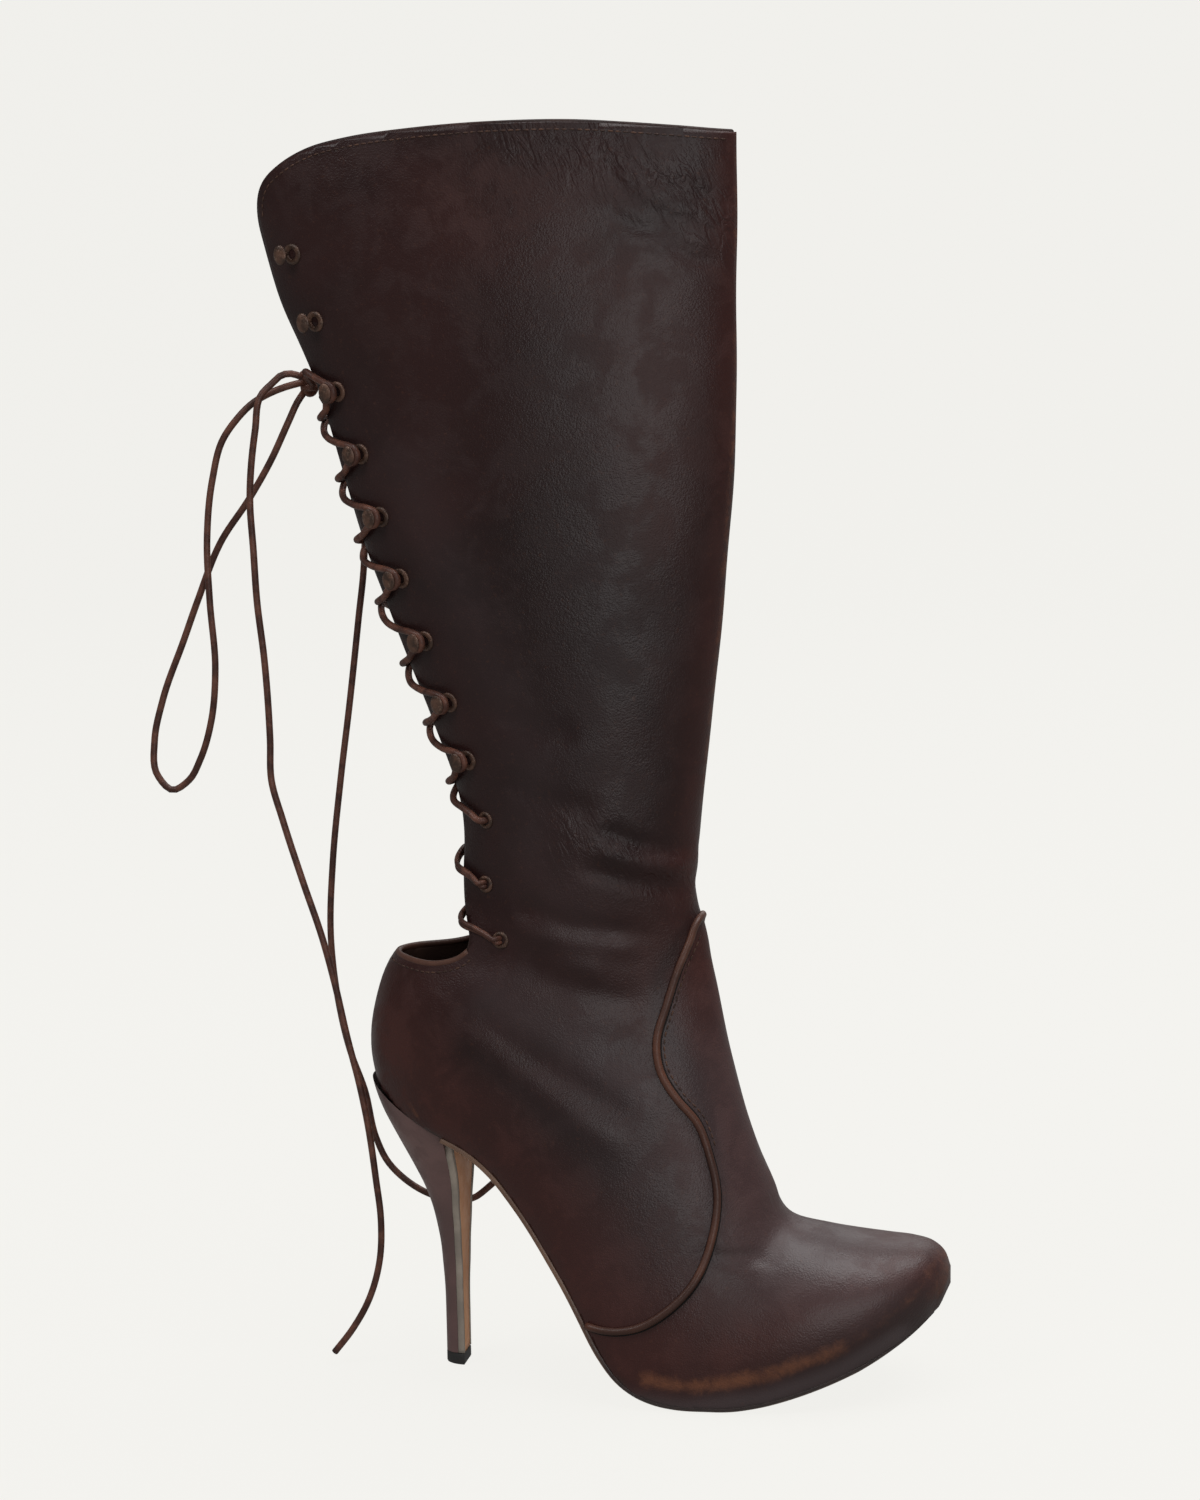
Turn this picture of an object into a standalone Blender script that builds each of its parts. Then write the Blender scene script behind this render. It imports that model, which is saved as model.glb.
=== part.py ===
# A corset-back boot for the right foot, standing on its heel tip and forefoot.
# The origin is under the middle of the heel tip, +X to the toe, +Y to the inner side, +Z up.
# All sizes are in metres. Tables hold shares of the named sizes.
import math

import bmesh
import bpy
import numpy as np
from mathutils import Matrix, Vector
from mathutils.bvhtree import BVHTree

# The boot's own sizes
foot_run = 0.220
heel_height = 0.112
shaft_height = 0.355
ball_width = 0.082
wall = 0.0018
clearance = 0.0003

# The sole unit
sole_thickness = 0.0022
insole_thickness = 0.0025
platform_height = 0.0155
platform_start = 0.285
breast_thickness = 0.0020
breast_share = 0.94
breast_rows = 13
lift_height = 0.0046

# The raised seam round the vamp
piping_width = 0.0030
piping_rise = 0.0012

# Lacing
eyelet_radius = 0.0031
eyelet_bore = 0.0017
eyelet_barrel = 0.0020
eyelet_rim = 0.0005
hole_clearance = 0.00045
eyelet_steps = 10
hook_radius = 0.0037
post_radius = 0.0008
hook_clearance = 0.0006
post_offset = 0.0026
head_offset = 0.0023
head_bottom = 0.0043
head_thickness = 0.0009
head_across = 0.0030
head_along = 0.0039
lace_radius = 0.00135
knot_radius = 0.0042
lace_lift = 0.0009
crossing_reach = 0.0046
# Where a strand passes between its eyelet and the flap's edge, as shares of that way.
strand_shares = (0.45, 0.8)
# Shares of foot_run: how far behind its middle a strand leaves an eyelet, and how far before the edge it bends.
eyelet_offset = 0.0047
edge_offset = 0.0018

# How finely the pieces are made
ring_points = 32
line_steps = 2
piping_steps = 3
route_steps = 12
sharp_angle = 35
merge_distance = 1e-6
cutter_reach = 0.010

# Each section runs from a point on the front to a point on the back of the boot.
# across is a share of foot_run. level is 0 on the floor, 1 at the seat, 2 at the top edge.
# half is a share of ball_width, widest a share of the way from back to front.
# back_bow and front_bow are 1 for an ellipse, less for a squarer end, more for a sharper one.
# swing is how far the section lies to the inner side, a share of ball_width.
# columns: front across, front level, back across, back level, half, widest, back_bow, front_bow, swing, steps
sections = (
    (0.508, 2.031, -0.318, 2.031, 0.293, 0.45, 1.00, 1.25, 0.000, 1),
    (0.507, 1.924, -0.316, 1.924, 0.329, 0.45, 1.00, 1.25, 0.000, 1),
    (0.506, 1.825, -0.275, 1.825, 0.348, 0.45, 1.00, 1.20, 0.000, 1),
    (0.504, 1.727, -0.211, 1.727, 0.360, 0.45, 1.00, 1.20, 0.000, 1),
    (0.496, 1.614, -0.159, 1.614, 0.366, 0.46, 1.00, 1.15, 0.000, 1),
    (0.478, 1.501, -0.098, 1.501, 0.366, 0.46, 1.00, 1.15, 0.000, 1),
    (0.458, 1.389, -0.027, 1.389, 0.360, 0.47, 1.00, 1.12, 0.000, 1),
    (0.443, 1.310, 0.014, 1.310, 0.354, 0.48, 1.00, 1.10, 0.000, 1),
    (0.433, 1.256, 0.018, 1.248, 0.348, 0.49, 1.00, 1.08, 0.000, 1),
    (0.428, 1.220, 0.000, 1.203, 0.341, 0.50, 1.05, 1.05, 0.000, 1),
    (0.434, 1.197, -0.052, 1.168, 0.335, 0.50, 1.10, 1.05, 0.000, 1),
    (0.443, 1.182, -0.105, 1.132, 0.329, 0.48, 1.12, 1.05, 0.000, 1),
    (0.450, 1.165, -0.131, 1.087, 0.348, 0.40, 1.05, 1.05, 0.000, 1),
    (0.456, 1.141, -0.139, 1.028, 0.366, 0.36, 1.00, 1.05, 0.000, 2),
    (0.466, 1.110, -0.093, 0.866, 0.378, 0.34, 0.88, 1.05, -0.004, 1),
    (0.477, 1.076, -0.014, 0.799, 0.378, 0.35, 0.80, 1.05, -0.012, 1),
    (0.491, 1.034, 0.055, 0.710, 0.384, 0.36, 0.73, 1.05, -0.022, 1),
    (0.509, 0.955, 0.109, 0.589, 0.396, 0.36, 0.70, 1.05, -0.028, 1),
    (0.532, 0.821, 0.164, 0.429, 0.415, 0.36, 0.66, 1.05, -0.028, 1),
    (0.552, 0.723, 0.209, 0.268, 0.439, 0.36, 0.60, 1.05, -0.022, 1),
    (0.572, 0.628, 0.257, 0.098, 0.470, 0.34, 0.52, 1.00, -0.012, 1),
    (0.600, 0.570, 0.318, -0.013, 0.494, 0.27, 0.45, 0.92, -0.002, 1),
    (0.650, 0.546, 0.400, -0.045, 0.500, 0.24, 0.40, 0.92, 0.006, 2),
    (0.702, 0.527, 0.500, -0.040, 0.490, 0.25, 0.40, 0.88, 0.014, 2),
    (0.753, 0.514, 0.595, -0.009, 0.453, 0.27, 0.42, 0.86, 0.026, 2),
    (0.796, 0.505, 0.682, 0.053, 0.384, 0.30, 0.45, 0.84, 0.038, 2),
    (0.826, 0.491, 0.748, 0.120, 0.299, 0.36, 0.50, 0.86, 0.048, 2),
    (0.846, 0.461, 0.801, 0.188, 0.200, 0.42, 0.60, 0.88, 0.054, 2),
    (0.856, 0.415, 0.838, 0.272, 0.106, 0.48, 0.70, 0.95, 0.058, 1),
)
toe_point = (0.857, 0.362)
toe_swing = 0.058
foot_start = 11

# Lines of the side view, each a row of across and level.
feather_line = (
    (-0.209, 1.025),
    (-0.136, 1.004),
    (-0.081, 0.950),
    (-0.030, 0.895),
    (0.008, 0.857),
    (0.054, 0.817),
    (0.100, 0.747),
    (0.132, 0.675),
    (0.159, 0.606),
    (0.183, 0.537),
    (0.205, 0.469),
    (0.225, 0.405),
    (0.243, 0.342),
    (0.260, 0.280),
    (0.277, 0.220),
    (0.295, 0.162),
    (0.316, 0.108),
    (0.345, 0.063),
    (0.382, 0.034),
    (0.418, 0.022),
    (0.464, 0.021),
    (0.509, 0.023),
    (0.555, 0.038),
    (0.605, 0.066),
    (0.655, 0.100),
    (0.702, 0.137),
    (0.750, 0.179),
    (0.795, 0.229),
    (0.823, 0.270),
    (0.845, 0.304),
    (0.900, 0.400),
)
# Two corners clear of the toe and the shin, which close the upper's outline in front.
outline_corners = ((1.1, 0.6), (0.62, 1.2))
# How thick the platform is, as a share of platform_height, along the foot.
platform_rows = (
    (0.262, 0.00),
    (0.300, 0.30),
    (0.340, 0.72),
    (0.390, 0.96),
    (0.440, 1.00),
    (0.540, 1.00),
    (0.640, 0.94),
    (0.740, 0.80),
    (0.860, 0.62),
)
top_line = (
    (0.636, 1.987),
    (0.508, 1.988),
    (0.392, 1.994),
    (0.255, 2.000),
    (0.159, 2.000),
    (-0.010, 1.994),
    (-0.122, 1.986),
    (-0.185, 1.977),
    (-0.222, 1.967),
    (-0.248, 1.957),
    (-0.267, 1.948),
    (-0.280, 1.936),
    (-0.286, 1.921),
    (-0.286, 1.904),
)
flap_line = (
    (-0.279, 1.887),
    (-0.271, 1.867),
    (-0.250, 1.826),
    (-0.220, 1.786),
    (-0.180, 1.725),
    (-0.145, 1.643),
    (-0.107, 1.560),
    (-0.055, 1.477),
    (-0.003, 1.394),
    (0.023, 1.352),
    (0.042, 1.311),
    (0.047, 1.270),
    (0.045, 1.237),
    (0.048, 1.211),
    (0.058, 1.187),
    (0.066, 1.170),
)
rim_line = (
    (0.061, 1.158),
    (0.046, 1.149),
    (0.027, 1.144),
    (-0.010, 1.139),
    (-0.053, 1.139),
    (-0.095, 1.141),
    (-0.209, 1.145),
)
piping_line = (
    (0.509, 1.211),
    (0.468, 1.199),
    (0.435, 1.186),
    (0.424, 1.165),
    (0.409, 1.141),
    (0.390, 1.100),
    (0.377, 1.067),
    (0.383, 1.039),
    (0.412, 1.008),
    (0.443, 0.948),
    (0.465, 0.838),
    (0.480, 0.711),
    (0.475, 0.578),
    (0.449, 0.438),
    (0.400, 0.337),
    (0.357, 0.285),
    (0.304, 0.265),
    (0.264, 0.273),
    (0.200, 0.300),
)
# The lowest three are eyelets, the others hooks.
# columns: across, level, and how far the crossing above the eyelet stands behind the edge,
# as a share of crossing_reach
eyelet_places = (
    (0.118, 1.171, 0.30),
    (0.090, 1.227, 0.75),
    (0.093, 1.295, 0.66),
    (0.064, 1.357, 0.94),
    (0.034, 1.417, 1.10),
    (-0.005, 1.480, 1.02),
    (-0.045, 1.544, 0.70),
    (-0.077, 1.607, 0.66),
    (-0.109, 1.671, 1.25),
    (-0.148, 1.734, 1.00),
    (-0.181, 1.805, 0.00),
    (-0.218, 1.873, 0.00),
)
first_hook = 3
first_crossed = 2
last_crossed = 9
knot_place = (-0.209, 1.740)

# Heel sections, from the seat down.
# columns: level, back across, front across, half width as a share of ball_width
heel_sections = (
    (1.120, -0.147, 0.005, 0.299),
    (0.973, -0.134, 0.005, 0.299),
    (0.911, -0.122, 0.005, 0.296),
    (0.848, -0.106, 0.006, 0.274),
    (0.777, -0.088, 0.007, 0.222),
    (0.706, -0.070, 0.008, 0.179),
    (0.638, -0.053, 0.008, 0.150),
    (0.568, -0.040, 0.007, 0.129),
    (0.498, -0.032, 0.007, 0.110),
    (0.428, -0.026, 0.006, 0.094),
    (0.356, -0.023, 0.006, 0.080),
    (0.286, -0.021, 0.005, 0.071),
    (0.142, -0.020, 0.005, 0.063),
    (0.000, -0.020, 0.005, 0.062),
)
heel_points = 20

# Routes of the lace's free lengths, from the knot outwards.
# columns: across, side as a share of ball_width, level
loop_route = (
    (-0.226, -0.043, 1.741),
    (-0.252, -0.085, 1.737),
    (-0.281, -0.098, 1.730),
    (-0.309, -0.098, 1.720),
    (-0.337, -0.110, 1.703),
    (-0.361, -0.110, 1.683),
    (-0.382, -0.110, 1.641),
    (-0.395, -0.110, 1.578),
    (-0.394, -0.110, 1.515),
    (-0.390, -0.098, 1.441),
    (-0.402, -0.085, 1.386),
    (-0.426, -0.073, 1.343),
    (-0.449, -0.061, 1.320),
    (-0.480, -0.061, 1.309),
    (-0.506, -0.061, 1.325),
    (-0.510, -0.049, 1.362),
    (-0.494, -0.037, 1.405),
    (-0.452, -0.037, 1.470),
    (-0.424, -0.037, 1.513),
    (-0.378, -0.037, 1.576),
    (-0.328, -0.037, 1.619),
    (-0.287, -0.037, 1.660),
    (-0.253, -0.030, 1.702),
    (-0.239, -0.012, 1.721),
    (-0.230, 0.000, 1.730),
)
near_end_route = (
    (-0.220, -0.100, 1.747),
    (-0.236, -0.118, 1.751),
    (-0.252, -0.130, 1.750),
    (-0.266, -0.150, 1.742),
    (-0.283, -0.171, 1.731),
    (-0.295, -0.183, 1.694),
    (-0.308, -0.183, 1.622),
    (-0.305, -0.183, 1.570),
    (-0.303, -0.171, 1.517),
    (-0.295, -0.159, 1.454),
    (-0.291, -0.146, 1.369),
    (-0.291, -0.146, 1.326),
    (-0.273, -0.146, 1.284),
    (-0.242, -0.146, 1.220),
    (-0.208, -0.146, 1.155),
    (-0.191, -0.146, 1.112),
    (-0.169, -0.146, 1.047),
    (-0.152, -0.146, 1.002),
    (-0.139, -0.146, 0.873),
    (-0.126, -0.146, 0.664),
    (-0.119, -0.146, 0.524),
    (-0.123, -0.146, 0.382),
    (-0.145, -0.146, 0.237),
    (-0.177, -0.146, 0.126),
    (-0.209, -0.146, 0.043),
)
far_end_route = (
    (-0.207, 0.073, 1.725),
    (-0.193, 0.195, 1.693),
    (-0.176, 0.244, 1.645),
    (-0.160, 0.268, 1.591),
    (-0.162, 0.268, 1.548),
    (-0.175, 0.268, 1.484),
    (-0.194, 0.268, 1.397),
    (-0.215, 0.268, 1.310),
    (-0.233, 0.268, 1.221),
    (-0.241, 0.268, 1.132),
    (-0.231, 0.268, 1.065),
    (-0.212, 0.268, 1.009),
    (-0.187, 0.268, 0.888),
    (-0.167, 0.268, 0.710),
    (-0.150, 0.268, 0.639),
    (-0.116, 0.268, 0.571),
    (-0.072, 0.268, 0.524),
    (-0.027, 0.268, 0.507),
    (0.010, 0.268, 0.521),
    (0.028, 0.268, 0.549),
    (0.043, 0.268, 0.576),
)
cord_spacing = 0.0068
bend_spacing = 0.0025
bar_rise = 0.012
knot_rise = 0.020
leave_share = 0.24
arrive_share = 0.62


def place(across, level):
    if level <= 1:
        height = level * heel_height
    else:
        height = heel_height + (level - 1) * shaft_height
    return Vector((across * foot_run, 0.0, height))


def smooth_rows(knots, rows, at):
    # Cubic Hermite through rows of numbers, with slopes weighted by the steps between knots.
    steps = np.diff(knots)
    slopes = np.diff(rows, axis=0) / steps[:, None]
    weights = steps[:, None]
    inner = (slopes[:-1] * weights[1:] + slopes[1:] * weights[:-1]) / (weights[:-1] + weights[1:])
    tangents = np.vstack((slopes[:1], inner, slopes[-1:]))
    index = int(np.clip(np.searchsorted(knots, at, side="right") - 1, 0, len(steps) - 1))
    step = steps[index]
    u = (at - knots[index]) / step
    return (
        (2 * u**3 - 3 * u**2 + 1) * rows[index]
        + (u**3 - 2 * u**2 + u) * step * tangents[index]
        + (3 * u**2 - 2 * u**3) * rows[index + 1]
        + (u**3 - u**2) * step * tangents[index + 1]
    )


def smooth_path(points, steps):
    rows = np.array(points)
    lengths = np.linalg.norm(np.diff(rows, axis=0), axis=1)
    knots = np.concatenate(([0.0], np.cumsum(lengths)))
    path = []
    for index in range(len(rows) - 1):
        for step in range(steps):
            share = step / steps
            at = knots[index] * (1 - share) + knots[index + 1] * share
            path.append(smooth_rows(knots, rows, at))
    path.append(rows[-1])
    return path


def even_path(points, spacing):
    # A smooth curve through the points, with a point every spacing along it.
    fine = np.array(smooth_path(points, route_steps))
    lengths = np.concatenate(([0.0], np.cumsum(np.linalg.norm(np.diff(fine, axis=0), axis=1))))
    count = max(3, round(lengths[-1] / spacing))
    stops = np.linspace(0.0, lengths[-1], count + 1)
    columns = [np.interp(stops, lengths, fine[:, axis]) for axis in range(3)]
    return [Vector(point) for point in zip(*columns)]


def side_path(table, steps=line_steps):
    points = [tuple(place(across, level)) for across, level in table]
    return [Vector((point[0], 0.0, point[2])) for point in smooth_path(points, steps)]


def beside(path, distances):
    # The path moved to its left in the side view, seen with +X to the right and +Z up.
    if not isinstance(distances, list):
        distances = [distances] * len(path)
    moved = []
    for index, (point, distance) in enumerate(zip(path, distances)):
        before = path[max(index - 1, 0)]
        after = path[min(index + 1, len(path) - 1)]
        run = (after - before).normalized()
        moved.append(point + Vector((-run.z, 0.0, run.x)) * distance)
    return moved


def section_table():
    rows = []
    for front_x, front_level, back_x, back_level, half, *shape, swing, _ in sections:
        front = place(front_x, front_level)
        back = place(back_x, back_level)
        rows.append((front.x, front.z, back.x, back.z, half * ball_width, *shape, swing * ball_width))
    rows = np.array(rows)
    moves = np.abs(np.diff(rows[:, :4], axis=0))
    lengths = (np.hypot(moves[:, 0], moves[:, 1]) + np.hypot(moves[:, 2], moves[:, 3])) / 2
    return np.concatenate(([0.0], np.cumsum(lengths))), rows


section_knots, section_rows = section_table()


def section_stops(first):
    stops = []
    for index in range(first, len(sections) - 1):
        steps = sections[index][-1]
        for step in range(steps):
            share = step / steps
            stops.append(section_knots[index] * (1 - share) + section_knots[index + 1] * share)
    stops.append(section_knots[-1])
    return stops


def ring(at):
    row = smooth_rows(section_knots, section_rows, at)
    front_x, front_z, back_x, back_z, half, widest, back_bow, front_bow, swing = row
    points = []
    for index in range(ring_points):
        turn = 2 * math.pi * index / ring_points
        along = math.cos(turn)
        out = math.sin(turn)
        bow = back_bow if along >= 0 else front_bow
        reach = widest if along >= 0 else 1 - widest
        share = widest - math.copysign(reach * abs(along) ** bow, along)
        side = -math.copysign(half * abs(out) ** bow, out)
        x = back_x + (front_x - back_x) * share
        z = back_z + (front_z - back_z) * share
        points.append(Vector((x, side + swing, z)))
    return points


def collect(name, hidden):
    group = bpy.data.collections.new(name)
    bpy.context.scene.collection.children.link(group)
    group.hide_render = hidden
    return group


def new_object(name, mesh, group, material=None):
    part = bpy.data.objects.new(name, mesh)
    group.objects.link(part)
    if material:
        mesh.materials.append(material)
    if group.hide_render:
        part.hide_render = True
        part.display_type = "WIRE"
    return part


def mesh_of(name, bm):
    mesh = bpy.data.meshes.new(name)
    bm.to_mesh(mesh)
    bm.free()
    for polygon in mesh.polygons:
        polygon.use_smooth = True
    mesh.set_sharp_from_angle(angle=math.radians(sharp_angle))
    return mesh


def loft(name, first, closed, inset=0.0):
    bm = bmesh.new()
    rings = [[bm.verts.new(point) for point in ring(at)] for at in section_stops(first)]
    for upper_ring, lower_ring in zip(rings[:-1], rings[1:]):
        for index in range(ring_points):
            after = (index + 1) % ring_points
            bm.faces.new((upper_ring[index], lower_ring[index], lower_ring[after], upper_ring[after]))
    tip = bm.verts.new(place(*toe_point) + Vector((0.0, toe_swing * ball_width, 0.0)))
    for index in range(ring_points):
        bm.faces.new((rings[-1][index], tip, rings[-1][(index + 1) % ring_points]))
    if closed:
        bm.faces.new(rings[0])
        bmesh.ops.recalc_face_normals(bm, faces=bm.faces)
    bm.normal_update()
    if inset:
        moves = [(vert, vert.normal * inset * vert.calc_shell_factor()) for vert in bm.verts]
        for vert, move in moves:
            vert.co -= move
    return mesh_of(name, bm)


def prism(name, outline, half_width, group):
    bm = bmesh.new()
    near = [bm.verts.new((point.x, -half_width, point.z)) for point in outline]
    far = [bm.verts.new((point.x, half_width, point.z)) for point in outline]
    bm.faces.new(near)
    bm.faces.new(far[::-1])
    for index in range(len(outline)):
        after = (index + 1) % len(outline)
        bm.faces.new((near[index], far[index], far[after], near[after]))
    bmesh.ops.triangulate(bm, faces=[face for face in bm.faces if len(face.verts) > 4])
    bmesh.ops.recalc_face_normals(bm, faces=bm.faces)
    return new_object(name, mesh_of(name, bm), group)


def boolean(part, other, operation):
    modifier = part.modifiers.new(operation.lower() + " " + other.name, "BOOLEAN")
    modifier.operation = operation
    modifier.solver = "EXACT"
    modifier.object = other


def paint(name, colour, roughness, metallic=0.0):
    material = bpy.data.materials.new(name)
    material.use_nodes = True
    shader = material.node_tree.nodes["Principled BSDF"]
    shader.inputs["Base Color"].default_value = (*colour, 1.0)
    shader.inputs["Roughness"].default_value = roughness
    shader.inputs["Metallic"].default_value = metallic
    return material


def upper_outline():
    back = side_path(top_line) + side_path(flap_line) + side_path(rim_line)
    return back + side_path(feather_line) + [place(*corner) for corner in outline_corners]


def make_upper():
    mesh = loft("upper", 0, False)
    part = new_object("upper", mesh, boot, paint("upper_leather", (0.035, 0.018, 0.015), 0.42))
    shell = part.modifiers.new("wall", "SOLIDIFY")
    shell.thickness = wall
    shell.offset = -1.0
    shell.use_even_offset = True
    boolean(part, prism("upper_outline", upper_outline(), ball_width, cutters), "INTERSECT")
    return part


def make_piping():
    mesh = loft("vamp_piping", foot_start - 2, True, -clearance - piping_rise)
    part = new_object("vamp_piping", mesh, boot, paint("piping_leather", (0.075, 0.033, 0.022), 0.45))
    inner = new_object("piping_seat", loft("piping_seat", foot_start - 3, True, -clearance), cutters)
    path = side_path(piping_line, piping_steps)
    band = beside(path, piping_width / 2) + beside(path, -piping_width / 2)[::-1]
    boolean(part, bpy.data.objects["upper_outline"], "INTERSECT")
    boolean(part, prism("piping_band", band, ball_width, cutters), "INTERSECT")
    boolean(part, inner, "DIFFERENCE")
    return part


def slab(name, upper_path, lower_path):
    return prism(name, upper_path + lower_path[::-1], ball_width, cutters)


def platform_tops(path):
    # How far the platform's top lies from each point of the feather line.
    rows = np.array(platform_rows)
    shares = [float(np.interp(point.x / foot_run, rows[:, 0], rows[:, 1])) for point in path]
    return [clearance + platform_height * share for share in shares]


def make_insole():
    mesh = loft("insole", foot_start, True, wall + clearance)
    part = new_object("insole", mesh, boot, paint("insole_leather", (0.10, 0.055, 0.035), 0.6))
    feather = side_path(feather_line)
    tops = platform_tops(feather)
    floor = beside(feather, [top + clearance for top in tops])
    top = beside(feather, [top + clearance + insole_thickness for top in tops])
    boolean(part, slab("insole_slab", top, floor), "INTERSECT")
    return part


def make_platform():
    mesh = loft("platform", foot_start, True, wall + clearance)
    part = new_object("platform", mesh, boot, paint("platform_board", (0.25, 0.16, 0.10), 0.7))
    start = platform_start * foot_run
    feather = [point for point in side_path(feather_line) if point.x > start]
    floor = beside(feather, clearance)
    top = beside(feather, platform_tops(feather))
    boolean(part, slab("platform_slab", top, floor), "INTERSECT")
    return part


def breast_x(level):
    rows = np.array(heel_sections)[::-1]
    return float(np.interp(level, rows[:, 0], rows[:, 2])) * foot_run


def heel_half(level):
    rows = np.array(heel_sections)[::-1]
    return float(np.interp(level, rows[:, 0], rows[:, 3])) * ball_width


def seat_level(feather):
    # The level at which the front of the heel meets the middle of the sole's thickness.
    middle = beside(feather, -clearance - sole_thickness / 2)
    levels = np.array([row[0] for row in heel_sections])[::-1]
    runs = [point.x for point in middle]
    heights = [point.z for point in middle]
    gaps = [level * heel_height - float(np.interp(breast_x(level), runs, heights)) for level in levels]
    return float(np.interp(0.0, gaps, levels))


def make_outsole():
    mesh = loft("outsole", foot_start, True)
    part = new_object("outsole", mesh, boot, paint("sole_leather", (0.36, 0.17, 0.085), 0.5))
    feather = side_path(feather_line)
    highest = seat_level(feather)
    seat = breast_x(highest) + clearance
    top = [point for point in beside(feather, -clearance) if point.x > seat]
    floor = [point for point in beside(feather, -clearance - sole_thickness) if point.x > seat]
    floor = [Vector((point.x, 0.0, max(point.z, 0.0))) for point in floor]
    boolean(part, slab("outsole_slab", top, floor), "INTERSECT")
    boolean(part, make_breast(highest), "UNION")
    return part


def make_breast(highest):
    # The strip of sole leather that runs down the front of the heel.
    levels = np.linspace(lift_height / heel_height, highest, breast_rows)
    bm = bmesh.new()
    rows = []
    for level in levels:
        back = breast_x(level) + clearance
        height = level * heel_height + clearance
        half = heel_half(level) * breast_share
        corners = ((back, -half), (back + breast_thickness, -half), (back + breast_thickness, half), (back, half))
        rows.append([bm.verts.new((x, y, height)) for x, y in corners])
    for lower, higher in zip(rows[:-1], rows[1:]):
        for index in range(4):
            after = (index + 1) % 4
            bm.faces.new((lower[index], lower[after], higher[after], higher[index]))
    bm.faces.new(rows[0])
    bm.faces.new(rows[-1])
    bmesh.ops.recalc_face_normals(bm, faces=bm.faces)
    return new_object("outsole_breast", mesh_of("outsole_breast", bm), cutters)


def heel_ring(bm, level, front_shift=0.0, height=None):
    rows = np.array(heel_sections)[::-1]
    back = float(np.interp(level, rows[:, 0], rows[:, 1])) * foot_run
    front = breast_x(level) + front_shift
    half = heel_half(level)
    if height is None:
        height = level * heel_height
    points = []
    for index in range(heel_points + 1):
        turn = math.pi * index / heel_points
        x = front - (front - back) * math.sin(turn)
        points.append(bm.verts.new((x, half * math.cos(turn), height)))
    return points


def skin_rings(bm, rings):
    for lower, higher in zip(rings[:-1], rings[1:]):
        for index in range(len(lower)):
            after = (index + 1) % len(lower)
            bm.faces.new((lower[index], lower[after], higher[after], higher[index]))
    bm.faces.new(rings[0])
    bm.faces.new(rings[-1])
    bmesh.ops.recalc_face_normals(bm, faces=bm.faces)


def make_heel():
    bm = bmesh.new()
    lowest = lift_height / heel_height
    rings = [heel_ring(bm, lowest, 0.0, lift_height + clearance)]
    for row in heel_sections[-2::-1]:
        rings.append(heel_ring(bm, row[0]))
    skin_rings(bm, rings)
    part = new_object("heel", mesh_of("heel", bm), boot, paint("heel_leather", (0.04, 0.021, 0.018), 0.4))
    feather = side_path(feather_line)
    front = breast_x(1) + cutter_reach
    top = [point for point in beside(feather, -clearance) if point.x < front]
    below = Vector((top[-1].x, 0.0, -cutter_reach))
    behind = Vector((top[0].x, 0.0, -cutter_reach))
    boolean(part, prism("heel_outline", top + [below, behind], ball_width, cutters), "INTERSECT")
    return part


def make_top_lift():
    bm = bmesh.new()
    level = lift_height / heel_height
    front = clearance + breast_thickness
    skin_rings(bm, [heel_ring(bm, level, front, 0.0), heel_ring(bm, level, front, lift_height)])
    return new_object("top_lift", mesh_of("top_lift", bm), boot, paint("lift_rubber", (0.012, 0.012, 0.012), 0.6))


def wall_point(tree, across, level, side):
    # The place on the outside of the upper that the side view shows there, and its direction outwards.
    start = place(across, level) + Vector((0.0, side * ball_width, 0.0))
    spot, normal, _, _ = tree.ray_cast(start, Vector((0.0, -side, 0.0)))
    if normal.y * side < 0:
        normal = -normal
    return spot, normal


def turned(name, profile, material):
    bm = bmesh.new()
    verts = [bm.verts.new((x, 0.0, z)) for x, z in profile]
    for first, second in zip(verts, verts[1:]):
        bm.edges.new((first, second))
    if profile[0][0] > 0:
        bm.edges.new((verts[-1], verts[0]))
    bmesh.ops.spin(
        bm,
        geom=bm.edges[:] + bm.verts[:],
        cent=(0.0, 0.0, 0.0),
        axis=(0.0, 0.0, 1.0),
        angle=2 * math.pi,
        steps=eyelet_steps,
        use_merge=True,
    )
    bmesh.ops.remove_doubles(bm, verts=bm.verts, dist=merge_distance)
    bmesh.ops.recalc_face_normals(bm, faces=bm.faces)
    mesh = mesh_of(name, bm)
    mesh.materials.append(material)
    return mesh


def seat_matrix(spot, normal):
    # Z stands off the leather and X points to the flap's edge.
    back = Vector((-1.0, 0.0, 0.0))
    across = (back - normal * back.dot(normal)).normalized()
    turn = Matrix((across, normal.cross(across), normal)).transposed()
    return Matrix.Translation(spot) @ turn.to_4x4()


def ring_profile(radius):
    return (
        (eyelet_bore, clearance + eyelet_rim),
        (eyelet_bore, -wall),
        (eyelet_barrel, -wall),
        (eyelet_barrel, clearance),
        (radius, clearance),
        (radius - eyelet_rim / 2, clearance + eyelet_rim),
    )


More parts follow.
